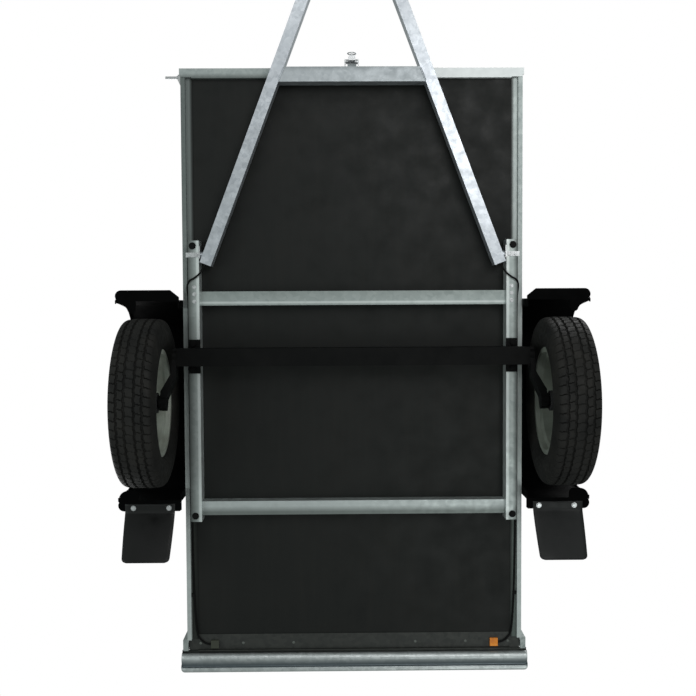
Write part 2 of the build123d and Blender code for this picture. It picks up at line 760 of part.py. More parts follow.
bolt_spots = []
for number in range(4):
    turn = math.radians(45.0 + 90.0 * number)
    bolt_spots.append((BOLT_CIRCLE_RADIUS * math.cos(turn), wheel_z + BOLT_CIRCLE_RADIUS * math.sin(turn)))
for spot_y, spot_z in bolt_spots:
    rim = rim - rod_x(wheel_x + 20.0, wheel_x + 40.0, spot_y, spot_z, WHEEL_BOLT_RADIUS + 0.5)
for number in range(8):
    turn = math.radians(45.0 * number)
    vent_y = 128.0 * math.cos(turn)
    vent_z = wheel_z + 128.0 * math.sin(turn)
    rim = rim - rod_x(wheel_x, wheel_x + 40.0, vent_y, vent_z, 9.0)
save("rim_right", [rim])
save("rim_left", [other_side(rim)])

crown = wheel_radius
shoulder = wheel_radius - 3.0
bead_low = seat_edge - BEAD_WIDTH * seat_slope
half_tyre = TYRE_WIDTH / 2
tyre_side = [
    (-bead_in, bead_low),
    (-flange_in, seat_edge),
    (-flange_in, RIM_FLANGE_RADIUS + 1.0),
    (-RIM_HALF_WIDTH - 5.0, RIM_FLANGE_RADIUS + 4.0),
    (-half_tyre + 5.5, RIM_FLANGE_RADIUS + 14.0),
    (-half_tyre, wheel_radius - 66.0),
    (-half_tyre, wheel_radius - 42.0),
    (-half_tyre + 6.5, wheel_radius - 18.0),
    (-half_tyre + 15.0, wheel_radius - 8.0),
    (-half_tyre + 21.5, shoulder),
]
groove_spots = (-29.0, 0.0, 29.0)
tread = []
for spot in groove_spots:
    floor_r = crown - GROOVE_DEPTH
    tread.append((spot - GROOVE_WIDTH / 2, crown))
    tread.append((spot - GROOVE_WIDTH / 2, floor_r))
    tread.append((spot + GROOVE_WIDTH / 2, floor_r))
    tread.append((spot + GROOVE_WIDTH / 2, crown))
tyre_inside = [
    (bead_in, RIM_FLANGE_RADIUS + 6.0),
    (RIM_HALF_WIDTH - 4.0, RIM_FLANGE_RADIUS + 14.0),
    (half_tyre - 12.0, wheel_radius - 74.0),
    (half_tyre - 9.0, wheel_radius - 56.0),
    (half_tyre - 15.0, wheel_radius - 24.0),
    (half_tyre - 29.0, wheel_radius - 15.0),
]
outside = tyre_side + tread + [(-x, r) for x, r in reversed(tyre_side)]
inside = tyre_inside + [(-x, r) for x, r in reversed(tyre_inside)]
tyre = turned_x(outside + inside, wheel_x, 0, wheel_z)
save("tyre_right", [tyre])
save("tyre_left", [other_side(tyre)])

hub_face = wheel_x + RIM_OFFSET
cap_end = spindle_end + 8.0
hub = rod_x(hub_back_x, hub_face - HUB_FLANGE_THICK, 0, wheel_z, HUB_RADIUS)
hub = hub + rod_x(hub_face - HUB_FLANGE_THICK, hub_face, 0, wheel_z, HUB_FLANGE_RADIUS)
hub = hub + rod_x(hub_face, cap_end, 0, wheel_z, 28.0)
hub = hub - rod_x(hub_back_x - 1.0, cap_end - 4.0, 0, wheel_z, BEARING_RADIUS)
for spot_y, spot_z in bolt_spots:
    hub = hub - rod_x(hub_face - HUB_FLANGE_THICK - 1.0, hub_face + 1.0, spot_y, spot_z, WHEEL_BOLT_RADIUS)
save("hub_right", [hub])
save("hub_left", [other_side(hub)])

bearings = []
for start in (hub_back_x + 2.0, outer_bearing_x):
    ring = rod_x(start, start + BEARING_WIDTH, 0, wheel_z, BEARING_RADIUS)
    ring = ring - rod_x(start - 1.0, start + BEARING_WIDTH + 1.0, 0, wheel_z, SPINDLE_RADIUS + RUNNING_GAP)
    bearings.append(ring)
save("bearings_right", bearings)
save("bearings_left", [other_side(ring) for ring in bearings])

wheel_bolts = []
for spot_y, spot_z in bolt_spots:
    head = rod_x(hub_face + 4.0, hub_face + 16.0, spot_y, spot_z, 9.5)
    shank = rod_x(hub_face - HUB_FLANGE_THICK - 6.0, hub_face + 5.0, spot_y, spot_z, WHEEL_BOLT_RADIUS)
    wheel_bolts.append(head + shank)
save("wheel_bolts_right", wheel_bolts)
save("wheel_bolts_left", [other_side(bolt) for bolt in wheel_bolts])

# ---------------------------------------------------------------- mudguards and flaps
guard_inner_x = half_width
guard_outer_x = half_width + GUARD_WIDTH
guard_end = wheel_radius + GUARD_REACH
guard_top = wheel_z + wheel_radius + GUARD_CLEARANCE + GUARD_THICK
guard_lip_z = wheel_z + GUARD_LIP_HEIGHT
guard_wall = wheel_radius + 62.0
arch = FilletPolyline(
    (guard_wall, 0.0),
    (guard_wall, guard_top - 130.0),
    (wheel_radius - 50.0, guard_top),
    (-wheel_radius + 50.0, guard_top),
    (-guard_wall, guard_top - 130.0),
    (-guard_wall, 0.0),
    radius=70.0,
)
arch_face = make_face(arch.edges() + [Line((-guard_wall, 0.0), (guard_wall, 0.0))])
arch_inside = offset(arch_face, -GUARD_THICK)
arch_band = offset(arch_face, -GUARD_THICK - 24.0)
guard_shell = extrude(
    Plane.YZ.offset(guard_inner_x) * (arch_face - arch_inside),
    amount=GUARD_WIDTH,
    dir=(1, 0, 0),
)
inner_band = extrude(Plane.YZ.offset(guard_inner_x) * (arch_face - arch_band), amount=GUARD_THICK, dir=(1, 0, 0))
outer_face = arch_face - offset(arch_face, -GUARD_THICK - 8.0)
outer_band = extrude(Plane.YZ.offset(guard_outer_x - GUARD_THICK) * outer_face, amount=GUARD_THICK, dir=(1, 0, 0))
guard = guard_shell + inner_band + outer_band
below = block(guard_inner_x - 5.0, guard_outer_x + 5.0, -900.0, 900.0, -50.0, guard_lip_z)
guard = guard - below


def guard_lip(root_y, end_y, inner_cut):
    """Flat lip with a rounded outer ear and a cut inner corner, seen from below."""
    outward = 1 if end_y > root_y else -1
    ear = GUARD_EAR_RADIUS
    outline = [(guard_inner_x, root_y), (guard_outer_x - 34.0, root_y)]
    for step in range(9):
        turn = math.radians(-60.0 + 150.0 * step / 8)
        outline.append(
            (guard_outer_x - ear + ear * math.cos(turn), end_y - outward * ear + outward * ear * math.sin(turn))
        )
    outline.append((guard_inner_x + inner_cut, end_y))
    outline.append((guard_inner_x, end_y - outward * inner_cut * 0.8))
    return section_z(outline, guard_lip_z, guard_lip_z + GUARD_THICK)


front_lip = guard_lip(guard_wall - GUARD_THICK, guard_end, GUARD_INNER_CUT)
rear_lip = guard_lip(-guard_wall + GUARD_THICK, -guard_end, 6.0)
corner_cut_points = [
    (guard_outer_x + 1.0, guard_lip_z + GUARD_THICK),
    (guard_outer_x - 30.0, guard_lip_z + GUARD_THICK),
    (guard_outer_x - 22.0, guard_lip_z + 30.0),
    (guard_outer_x + 1.0, guard_lip_z + 95.0),
]
guard = guard - section_y(corner_cut_points, -900.0, 900.0)
# A taller guard is notched where the wall's rib and rolled edge pass it.
guard = guard - block(
    guard_inner_x - 5.0,
    panel_outer + WALL_LIP_OUT + SAFE_GAP,
    -guard_wall - 1.0,
    guard_wall + 1.0,
    rib_low - SAFE_GAP,
    wall_top + 500.0,
)
guard = guard + front_lip + rear_lip
flap_inner_x = guard_inner_x + FLAP_OUT
flap_outer_x = flap_inner_x + FLAP_WIDTH
flap_bolt_y = -guard_end + 12.0
flap_bolts_x = (flap_inner_x + 20.0, flap_outer_x - 29.0)
for bolt_x in flap_bolts_x:
    guard = guard - rod_z(guard_lip_z - 1.0, guard_lip_z + GUARD_THICK + 1.0, bolt_x, flap_bolt_y, 4.0 + RUNNING_GAP)
save("mudguard_right", [guard])
save("mudguard_left", [other_side(guard)])

slope = math.radians(FLAP_SLOPE)
flap_back_y = -guard_end - FLAP_LENGTH * math.cos(slope)
flap_back_z = guard_lip_z - FLAP_LENGTH * math.sin(slope)
flap_outline = [
    (-guard_end + 26.0, guard_lip_z),
    (-guard_end, guard_lip_z),
    (flap_back_y, flap_back_z),
    (flap_back_y + FLAP_THICK * math.sin(slope) * 0.2, flap_back_z - FLAP_THICK),
    (-guard_end + 1.0, guard_lip_z - FLAP_THICK),
    (-guard_end + 26.0, guard_lip_z - FLAP_THICK),
]
flap = section_x(flap_outline, flap_inner_x, flap_outer_x)
for bolt_x in flap_bolts_x:
    flap = flap - rod_z(guard_lip_z - FLAP_THICK - 1.0, guard_lip_z + 1.0, bolt_x, flap_bolt_y, 4.0 + RUNNING_GAP)
save("mudflaps", both_sides([flap]))

flap_bolts = []
for bolt_x in flap_bolts_x:
    bolt = rod_z(guard_lip_z - FLAP_THICK, guard_lip_z + GUARD_THICK + 8.0, bolt_x, flap_bolt_y, 4.0)
    bolt = bolt + rod_z(guard_lip_z - FLAP_THICK - 4.0, guard_lip_z - FLAP_THICK, bolt_x, flap_bolt_y, 9.0)
    bolt = bolt + rod_z(guard_lip_z + GUARD_THICK, guard_lip_z + GUARD_THICK + 6.0, bolt_x, flap_bolt_y, 7.0)
    flap_bolts.append(bolt)
save("mudflap_bolts", both_sides(flap_bolts))

# ---------------------------------------------------------------- drawbar
# Each beam is an open-ended tube that runs from the tilt pivot to the nose tube.
beam_direction = Vector(-math.sin(angle), math.cos(angle), 0)
beam_length = (meet_y - beam_end_y) / math.cos(angle)
beam_plane = Plane(
    origin=(beam_end_x, beam_end_y, drawbar_z),
    x_dir=(math.cos(angle), math.sin(angle), 0),
    z_dir=beam_direction,
)
beam_outside = extrude(beam_plane * Rectangle(BEAM_WIDTH, BEAM_DEPTH), amount=beam_length)
inner_rectangle = Rectangle(BEAM_WIDTH - 2 * BEAM_WALL, BEAM_DEPTH - 2 * BEAM_WALL)
beam_hollow = extrude(beam_plane * inner_rectangle, amount=beam_length)
bush_outer = bracket_inner - SAFE_GAP
bush_inner = beam_inner_x - PIVOT_BUSH_RADIUS
bush = rod_x(bush_inner, bush_outer, pivot_y, drawbar_z, PIVOT_BUSH_RADIUS)
bush_bore = rod_x(bush_inner - 1.0, bush_outer + 1.0, pivot_y, drawbar_z, bolt_hole_radius)
inner_skin = -BEAM_WIDTH / 2 + BEAM_WALL / 2
inside_of_beam = extrude(beam_plane * (Pos(inner_skin - 200.0, 0) * Rectangle(400.0, 400.0)), amount=beam_length)
bush = bush - inside_of_beam
nose_side = block(-1000.0, NOSE_WIDTH / 2, 0, meet_y + 400.0, 0, 1000.0)
beam = beam_outside - beam_hollow - nose_side + bush - bush_bore
save("drawbar_beam_right", [beam])
save("drawbar_beam_left", [other_side(beam)])

tube_back = crossbar_y - DRAWBAR_TUBE_LENGTH / 2
tube_front = crossbar_y + DRAWBAR_TUBE_LENGTH / 2
crossbar = block(-beam_end_x, beam_end_x, tube_back, tube_front, drawbar_bottom, drawbar_top)
crossbar_hollow = block(
    -beam_end_x,
    beam_end_x,
    tube_back + BEAM_WALL,
    tube_front - BEAM_WALL,
    drawbar_bottom + BEAM_WALL,
    drawbar_top - BEAM_WALL,
)
outside_of_beam = extrude(beam_plane * (Pos(200.0, 0) * Rectangle(400.0 + BEAM_WIDTH, 400.0)), amount=beam_length)
crossbar = crossbar - crossbar_hollow - outside_of_beam - other_side(outside_of_beam)
keeper = block(-15.0, 15.0, tube_front, tube_front + 14.0, drawbar_z - 6.0, drawbar_z)
save("drawbar_crossbar", [crossbar + keeper])

nose_half = NOSE_WIDTH / 2
nose = block(-nose_half, nose_half, nose_rear, nose_front, drawbar_bottom, drawbar_top)
nose = nose - block(
    -nose_half + BEAM_WALL,
    nose_half - BEAM_WALL,
    nose_rear - 1.0,
    nose_front + 1.0,
    drawbar_bottom + BEAM_WALL,
    drawbar_top - BEAM_WALL,
)
head_bolt_ys = (nose_front - 100.0, nose_front - 30.0)
for bolt_y in head_bolt_ys:
    nose = nose - rod_x(-nose_half - 1.0, nose_half + 1.0, bolt_y, drawbar_z, 6.0 + RUNNING_GAP)
save("drawbar_nose", [nose])

# Coupling head: a saddle over the nose tube, a tapering neck and a ball dome.
head_half = nose_half + HEAD_SHEET
head_rear = nose_front - 130.0
head_top = drawbar_top + HEAD_SHEET
saddle = block(-head_half, head_half, head_rear, nose_front, drawbar_z - 14.0, head_top)
saddle = saddle - block(-nose_half, nose_half, head_rear - 1.0, nose_front + 1.0, drawbar_bottom, drawbar_top)
neck = section_z(
    [
        (-head_half, nose_front),
        (head_half, nose_front),
        (head_radius, ball_y),
        (-head_radius, ball_y),
    ],
    ball_z - 4.0,
    head_top,
)
dome = Pos(0, ball_y, ball_z) * Sphere(head_radius)
skirt = rod_z(ball_z - 16.0, ball_z, 0, ball_y, head_radius)
collar = rod_z(ball_z - 18.0, ball_z - 12.0, 0, ball_y, head_radius + 4.0)
head = saddle + neck + dome + skirt + collar
socket_radius = BALL_RADIUS + 0.5
head = head - Pos(0, ball_y, ball_z) * Sphere(socket_radius)
head = head - rod_z(ball_z - 60.0, ball_z, 0, ball_y, socket_radius)
jaw_slot = block(-9.0, 9.0, ball_y - socket_radius - 22.0, ball_y - 10.0, ball_z - 60.0, ball_z + 17.0)
head = head - jaw_slot
handle_pin_y = ball_y - 62.0
handle_pin_z = head_top + 12.0
jaw_pin_y = ball_y - socket_radius - 12.0
jaw_pin_z = ball_z + 6.0
for side in (-1, 1):
    ear = block(side * 14.0, side * 18.0, handle_pin_y - 10.0, handle_pin_y + 10.0, head_top - 2.0, handle_pin_z + 8.0)
    head = head + ear
handle_pin = rod_x(-18.0, 18.0, handle_pin_y, handle_pin_z, 4.0)
jaw_pin = rod_x(-20.0, 20.0, jaw_pin_y, jaw_pin_z, 3.0)
head = head + handle_pin + jaw_pin
for bolt_y in head_bolt_ys:
    head = head - rod_x(-head_half - 1.0, head_half + 1.0, bolt_y, drawbar_z, 6.0 + RUNNING_GAP)
save("coupling_head", [head])

handle = block(-13.5, 13.5, handle_pin_y - 120.0, handle_pin_y - 9.0, handle_pin_z + 2.0, handle_pin_z + 6.0)
handle = handle + block(-13.5, 13.5, handle_pin_y - 126.0, handle_pin_y - 120.0, handle_pin_z - 6.0, handle_pin_z + 6.0)
handle = handle + block(-13.5, 13.5, handle_pin_y - 9.0, handle_pin_y, handle_pin_z - 2.0, handle_pin_z + 6.0)
handle = handle + rod_x(-13.5, 13.5, handle_pin_y, handle_pin_z, 8.0)
handle = handle - rod_x(-14.5, 14.5, handle_pin_y, handle_pin_z, 4.0 + RUNNING_GAP)
save("coupling_handle", [handle])

jaw = block(-8.0, 8.0, jaw_pin_y - 5.0, jaw_pin_y + 5.0, ball_z - 20.0, jaw_pin_z)
jaw = jaw + rod_x(-8.0, 8.0, jaw_pin_y, jaw_pin_z, 7.0)
jaw = jaw + block(-8.0, 8.0, jaw_pin_y, jaw_pin_y + 10.0, ball_z - 20.0, ball_z - 12.0)
jaw = jaw - rod_x(-9.0, 9.0, jaw_pin_y, jaw_pin_z, 3.0 + RUNNING_GAP)
save("coupling_jaw", [jaw])

head_bolts = []
for bolt_y in head_bolt_ys:
    bolt = rod_x(-head_half, head_half + 12.0, bolt_y, drawbar_z, 6.0)
    bolt = bolt + rod_x(-head_half - 7.5, -head_half, bolt_y, drawbar_z, 10.0)
    bolt = bolt + rod_x(head_half, head_half + 10.0, bolt_y, drawbar_z, 10.0)
    head_bolts.append(bolt)
save("coupling_bolts", head_bolts)

beam_tip_y = meet_y + (BEAM_WIDTH / 2 / math.sin(angle)) - nose_half / math.tan(angle)
eye_y = max(meet_y - 1.0, beam_tip_y + 15.0 + LOOSE_GAP)
eye_x = nose_half + 16.0
eye = block(nose_half, nose_half + 30.0, eye_y - 15.0, eye_y + 15.0, drawbar_bottom, drawbar_bottom + EYE_THICK)
eye = eye - rod_z(drawbar_bottom - 1.0, drawbar_bottom + EYE_THICK + 1.0, eye_x, eye_y, EYE_HOLE_RADIUS)
save("safety_eye", [eye])

# ---------------------------------------------------------------- tilt latch
# A bracket on the front sill carries a swinging hook that reaches down ahead of the
# keeper on the drawbar's crossbar; a wire ring hangs from the hook.
latch_pin_y = sill_outer_y + 22.0
latch_pin_z = sill_bottom + 5.0
latch_half = LATCH_WIDTH / 2
bracket_back = block(-latch_half, latch_half, sill_outer_y, sill_outer_y + LATCH_PLATE, sill_bottom - 6.0, sill_lip_top - 1.0)
latch_bracket = bracket_back
for side in (-1, 1):
    ear = block(
        side * (latch_half - LATCH_PLATE),
        side * latch_half,
        sill_outer_y,
        latch_pin_y + 8.0,
        sill_bottom - 4.0,
        sill_lip_top - 1.0,
    )
    latch_bracket = latch_bracket + ear
latch_pin = rod_x(-latch_half, latch_half, latch_pin_y, latch_pin_z, LATCH_PIN_RADIUS)
latch_bracket = latch_bracket + latch_pin
save("tilt_latch_bracket", [latch_bracket])

hook_half = latch_half - LATCH_PLATE - SAFE_GAP
hook_low = drawbar_z - 26.0
hook_back = tube_front + 14.0 + 8.0
hook = rod_x(-hook_half, hook_half, latch_pin_y, latch_pin_z, 8.0)
hook = hook + block(-12.0, 12.0, latch_pin_y - 2.0, latch_pin_y + 6.0, hook_low, latch_pin_z)
hook = hook + block(-12.0, 12.0, hook_back, latch_pin_y + 6.0, hook_low, hook_low + 8.0)
ring_hole_y = latch_pin_y + 20.0
ring_hole_z = latch_pin_z - 18.0
tab = block(-2.5, 2.5, latch_pin_y, ring_hole_y + 7.0, ring_hole_z - 7.0, ring_hole_z + 7.0)
hook = hook + tab
hook = hook - rod_x(-hook_half - 1.0, hook_half + 1.0, latch_pin_y, latch_pin_z, LATCH_PIN_RADIUS + RUNNING_GAP)
hook = hook - rod_x(-4.0, 4.0, ring_hole_y, ring_hole_z, RING_WIRE_RADIUS + LOOSE_GAP + 0.2)
save("tilt_latch_hook", [hook])
ring = Pos(0, ring_hole_y, ring_hole_z - RING_RADIUS) * (Rotation(90, 0, 0) * Torus(RING_RADIUS, RING_WIRE_RADIUS))
save("tilt_latch_ring", [ring])

# ---------------------------------------------------------------- bolts and screws
chassis_bolts = []
for bolt_y in (rail_front - 18.0, axle_front + 14.0, axle_back - 14.0, rail_rear + 20.0):
    bolt_x = rail_inner + 22.0
    low = rail_bottom
    if axle_back - MOUNT_OVERHANG < bolt_y < axle_front + MOUNT_OVERHANG:
        low = axle_top
    head = rod_z(low - 8.0, low, bolt_x, bolt_y, 13.0)
    chassis_bolts.append(head)
save("chassis_bolts", both_sides(chassis_bolts))

screws = []
for screw_x in (0.183, 0.334, 0.462):
    place = screw_x * BODY_WIDTH
    screws.append(rod_z(rail_top - 2.5, rail_top, place, -BED_BEHIND - 6.0, 5.0))
save("floor_screws", both_sides(screws))

# ---------------------------------------------------------------- wiring
# A thin cable leaves each beam's open end, passes below the rail and then runs back
# in the gap beside the rail to the marker lamp.
cable_x = (rail_outer + lip_inner) / 2
cable_high = rail_top - CABLE_RADIUS - 3.0
cable_low = rail_bottom - CABLE_RADIUS - 4.5
inside_beam = Vector(beam_end_x, beam_end_y, drawbar_z) + beam_direction * 55.0
beam_mouth = Vector(beam_end_x, beam_end_y, drawbar_z) - beam_direction * 14.0
cable_points = [
    (inside_beam.X, inside_beam.Y, drawbar_z - 19.5),
    (beam_mouth.X, beam_mouth.Y, drawbar_z - 20.5),
    (rail_inner + 8.0, beam_end_y - 44.0, cable_low),
    (cable_x, beam_end_y - 60.0, cable_low),
    (cable_x, beam_end_y - 130.0, cable_high),
    (cable_x, marker_y + 60.0, cable_high),
    (marker_x + MARKER_SIZE / 2 + 26.0, marker_y, cable_high),
    (marker_x + MARKER_SIZE / 2 + 0.3, marker_y, cable_high),
]


def bend_radii(points):
    """Radius at each bend: 0.45 of the shorter straight over tan of half the turn."""
    radii = []
    for index in range(1, len(points) - 1):
        before = Vector(*points[index]) - Vector(*points[index - 1])
        after = Vector(*points[index + 1]) - Vector(*points[index])
        turn = math.radians(before.get_angle(after))
        radii.append(0.45 * min(before.length, after.length) / math.tan(turn / 2))
    return radii


radii = bend_radii(cable_points)
cable_line = FilletPolyline(*cable_points, radius=radii)
cable_start = Plane(origin=cable_line @ 0, z_dir=cable_line % 0)
cable = sweep(cable_start * Circle(CABLE_RADIUS), path=cable_line)
save("wiring_loom", both_sides([cable]))
print("cable bend radii, mm:", [round(radius, 1) for radius in radii])
print("cable length, mm:", round(cable_line.length, 1))
section_area = math.pi * CABLE_RADIUS**2
print("cable volume over section x length:", round(cable.volume / (section_area * cable_line.length), 4))

clips = []
for clip_y in (beam_end_y - 260.0, axle_y - 200.0, axle_y - 480.0, rear_rail_end + 160.0):
    clip = rod_y(clip_y - 5.0, clip_y + 5.0, cable_x, cable_high, CABLE_RADIUS + 1.4)
    clip = clip + block(cable_x - 4.0, cable_x + 4.0, clip_y - 5.0, clip_y + 5.0, cable_high, rail_top)
    clip = clip - rod_y(clip_y - 6.0, clip_y + 6.0, cable_x, cable_high, CABLE_RADIUS)
    clips.append(clip)
save("cable_clips", both_sides(clips))

# ---------------------------------------------------------------- summary of positions
for label, value in (
    ("middle_y", middle_y),
    ("overall length", overall_front - lamp_bar_rear),
    ("axle_y", axle_y),
    ("axle_z", axle_z),
    ("pivot_y", pivot_y),
    ("drawbar_z", drawbar_z),
    ("beam_end_x", beam_end_x),
    ("meet_y", meet_y),
    ("ball_y", ball_y),
    ("ball_z", ball_z),
    ("floor_top", floor_top),
    ("hinge_z", hinge_z),
    ("tail_board_outer", tail_board_outer),
    ("front_board_outer", front_board_outer),
    ("latch_pin_y", latch_pin_y),
    ("latch_pin_z", latch_pin_z),
    ("ring_hole_y", ring_hole_y),
    ("ring_hole_z", ring_hole_z),
    ("latch_z", latch_z),
    ("board_half", board_half),
    ("handle_pin_y", handle_pin_y),
    ("handle_pin_z", handle_pin_z),
    ("jaw_pin_y", jaw_pin_y),
    ("jaw_pin_z", jaw_pin_z),
    ("eye_x", eye_x),
    ("eye_y", eye_y),
    ("pin_y", pin_y),
    ("pin_z", pin_z),
    ("wheel_x", wheel_x),
    ("lamp_bar_rear", lamp_bar_rear),
):
    print(label, round(value, 3))
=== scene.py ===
import math

import bpy
import numpy as np
from mathutils import Matrix, Vector


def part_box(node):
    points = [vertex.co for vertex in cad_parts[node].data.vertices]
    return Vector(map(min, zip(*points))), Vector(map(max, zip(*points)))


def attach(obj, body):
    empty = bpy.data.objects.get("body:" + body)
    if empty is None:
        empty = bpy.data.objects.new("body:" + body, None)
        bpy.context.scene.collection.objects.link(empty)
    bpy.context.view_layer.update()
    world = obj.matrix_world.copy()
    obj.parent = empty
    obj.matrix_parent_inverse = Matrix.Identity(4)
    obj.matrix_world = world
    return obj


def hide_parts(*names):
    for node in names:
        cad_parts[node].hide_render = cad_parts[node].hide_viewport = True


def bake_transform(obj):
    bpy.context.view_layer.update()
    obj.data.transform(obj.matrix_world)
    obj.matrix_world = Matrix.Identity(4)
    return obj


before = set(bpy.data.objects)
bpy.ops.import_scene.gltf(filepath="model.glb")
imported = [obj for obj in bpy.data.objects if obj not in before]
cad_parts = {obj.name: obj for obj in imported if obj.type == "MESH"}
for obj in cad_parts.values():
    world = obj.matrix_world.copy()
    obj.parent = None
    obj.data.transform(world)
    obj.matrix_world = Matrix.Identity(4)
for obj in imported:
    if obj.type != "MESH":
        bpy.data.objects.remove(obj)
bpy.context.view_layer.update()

# ------------------------------------------------------------------ chassis channels
# Two long rails and two cross channels, cold-formed from steel sheet and then dipped
# in molten zinc. The zinc sets in faint crystals and dulls to a greenish grey.


def new_finish(name, rough, metal=0.0):
    """A blank principled finish; returns the material and its node tree's parts."""
    made = bpy.data.materials.new(name)
    made.use_nodes = True
    tree = made.node_tree
    shader = tree.nodes["Principled BSDF"]
    shader.inputs["Roughness"].default_value = rough
    shader.inputs["Metallic"].default_value = metal
    place = tree.nodes.new("ShaderNodeTexCoord")
    return made, tree, shader, place.outputs["Object"]


def noise(tree, spot, scale, detail=4.0, stretch=None):
    """Noise read at the object's own coordinates, stretched along an axis if asked."""
    if stretch is not None:
        turn = tree.nodes.new("ShaderNodeMapping")
        turn.inputs["Scale"].default_value = stretch
        tree.links.new(spot, turn.inputs["Vector"])
        spot = turn.outputs["Vector"]
    made = tree.nodes.new("ShaderNodeTexNoise")
    made.inputs["Scale"].default_value = scale
    made.inputs["Detail"].default_value = detail
    tree.links.new(spot, made.inputs["Vector"])
    return made.outputs["Fac"]


def band(tree, value, low, high, to_low, to_high):
    """Maps a value from one range on to another, clamped."""
    made = tree.nodes.new("ShaderNodeMapRange")
    for socket, number in (("From Min", low), ("From Max", high), ("To Min", to_low), ("To Max", to_high)):
        made.inputs[socket].default_value = number
    tree.links.new(value, made.inputs["Value"])
    return made.outputs["Result"]


def blend_colour(tree, factor, first, second):
    """Mix of two colours, each a tuple or a socket, by a factor."""
    made = tree.nodes.new("ShaderNodeMix")
    made.data_type = "RGBA"
    tree.links.new(factor, made.inputs["Factor"])
    for socket, colour in ((made.inputs["A"], first), (made.inputs["B"], second)):
        if isinstance(colour, tuple):
            socket.default_value = colour + (1.0,)
        else:
            tree.links.new(colour, socket)
    return made.outputs["Result"]


def raise_surface(tree, shader, height, strength, distance=0.0005):
    """Bump of the shader's normal from a height."""
    made = tree.nodes.new("ShaderNodeBump")
    made.inputs["Strength"].default_value = strength
    made.inputs["Distance"].default_value = distance
    tree.links.new(height, made.inputs["Height"])
    tree.links.new(made.outputs["Normal"], shader.inputs["Normal"])


def zinc_finish(name, dark, light, crystal=0.014, rough=(0.38, 0.6), metal=0.75, grime=0.35):
    """Dipped zinc: crystals of slightly different tone, cloudy stains, soft gloss."""
    made, tree, shader, spot = new_finish(name, rough[0], metal)
    cells = tree.nodes.new("ShaderNodeTexVoronoi")
    cells.inputs["Scale"].default_value = 1.0 / crystal
    tree.links.new(spot, cells.inputs["Vector"])
    tone = tree.nodes.new("ShaderNodeSeparateColor")
    tree.links.new(cells.outputs["Color"], tone.inputs["Color"])
    base = blend_colour(tree, tone.outputs["Red"], dark, light)
    cloud = band(tree, noise(tree, spot, 7.0, 5.0), 0.35, 0.85, 0.0, 0.7 * grime)
    dull = tuple(0.55 * part for part in dark)
    shade = blend_colour(tree, cloud, base, dull)
    tree.links.new(shade, shader.inputs["Base Color"])
    gloss = band(tree, noise(tree, spot, 38.0, 3.0), 0.3, 0.7, rough[0], rough[1])
    tree.links.new(gloss, shader.inputs["Roughness"])
    raise_surface(tree, shader, noise(tree, spot, 160.0, 3.0), 0.12)
    return made


def wear(node, material):
    """Gives a CAD node its finish."""
    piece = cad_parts[node]
    if not piece.material_slots:
        piece.data.materials.append(material)
    for place in piece.material_slots:
        place.material = material


def open_finish(made):
    """A made finish's tree, shader, present colour, and the object's X, Y and |X|."""
    tree = made.node_tree
    shader = tree.nodes["Principled BSDF"]
    place = next(node for node in tree.nodes if node.type == "TEX_COORD").outputs["Object"]
    split = tree.nodes.new("ShaderNodeSeparateXYZ")
    tree.links.new(place, split.inputs["Vector"])
    away = tree.nodes.new("ShaderNodeMath")
    away.operation = "ABSOLUTE"
    tree.links.new(split.outputs["X"], away.inputs[0])
    clean = shader.inputs["Base Color"].links[0].from_socket
    return tree, shader, clean, split.outputs["X"], split.outputs["Y"], away.outputs["Value"]


def both(tree, first, second):
    """Product of two shares, so that both must hold."""
    made = tree.nodes.new("ShaderNodeMath")
    made.operation = "MULTIPLY"
    tree.links.new(first, made.inputs[0])
    tree.links.new(second, made.inputs[1])
    return made.outputs["Value"]


# The front channel has a painted highlight along its rear edge and is darker towards its front edge, and the
# rear one darkens away from its front.
chassis_zinc = zinc_finish("chassis_zinc", (0.31, 0.35, 0.34), (0.37, 0.41, 0.40))
tree, shader, clean, x, y, away = open_finish(chassis_zinc)
cross_width = 0.048
cross_low, cross_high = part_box("crossmembers")
rear_low, rear_high = cross_low[1], cross_low[1] + cross_width
front_low, front_high = cross_high[1] - cross_width, cross_high[1]
# Painted highlight: a bright line along the front channel's rear edge, where its fold would catch light.
painted_edge_highlight = both(
    tree,
    band(tree, y, front_low + 0.0150, front_low + 0.0110, 0.0, 1.0),
    band(tree, y, front_low + 0.0040, front_low + 0.0080, 0.0, 0.8),
)
front_edge_darkening = band(tree, y, front_high, front_high - 0.0300, 0.30, 0.0)
shade = blend_colour(tree, front_edge_darkening, clean, (0.15, 0.17, 0.16))
shade = blend_colour(tree, painted_edge_highlight, shade, (0.60, 0.64, 0.63))
rear_channel = band(tree, y, rear_high + 0.10, rear_high + 0.05, 0.0, 0.45)
shade = blend_colour(tree, rear_channel, shade, (0.66, 0.70, 0.70))
rear_darkening = band(tree, y, rear_high - 0.0180, rear_low + 0.0100, 0.0, 0.85)
shade = blend_colour(tree, rear_darkening, shade, (0.13, 0.15, 0.14))
tree.links.new(shade, shader.inputs["Base Color"])
wear("crossmembers", chassis_zinc)

# The rails' inner edge has a painted highlight where a rolled lip would catch light, and a painted shadow
# darkens their outer edge towards the wheels, where they meet the side flange.
rail_zinc = zinc_finish("rail_zinc", (0.36, 0.40, 0.39), (0.44, 0.48, 0.47))
tree, shader, clean, x, y, away = open_finish(rail_zinc)
# Painted highlight along the rails' inner edge.
shade = blend_colour(tree, band(tree, away, 0.5330, 0.5380, 1.0, 0.0), clean, (0.62, 0.66, 0.65))
# Painted shadow along the rails' outer edges, on both sides.
shade = blend_colour(tree, band(tree, x, 0.5340, 0.5640, 0.0, 0.90), shade, (0.045, 0.052, 0.048))
shade = blend_colour(tree, band(tree, x, -0.5480, -0.5640, 0.0, 0.92), shade, (0.030, 0.035, 0.032))
tree.links.new(shade, shader.inputs["Base Color"])
wear("chassis_rails", rail_zinc)

# ------------------------------------------------------------------ axle, mounts and arms
# A square torsion tube and two cranked forgings, all painted satin black. The rubber
# cords that spring the axle show only as dark ends inside the tube.


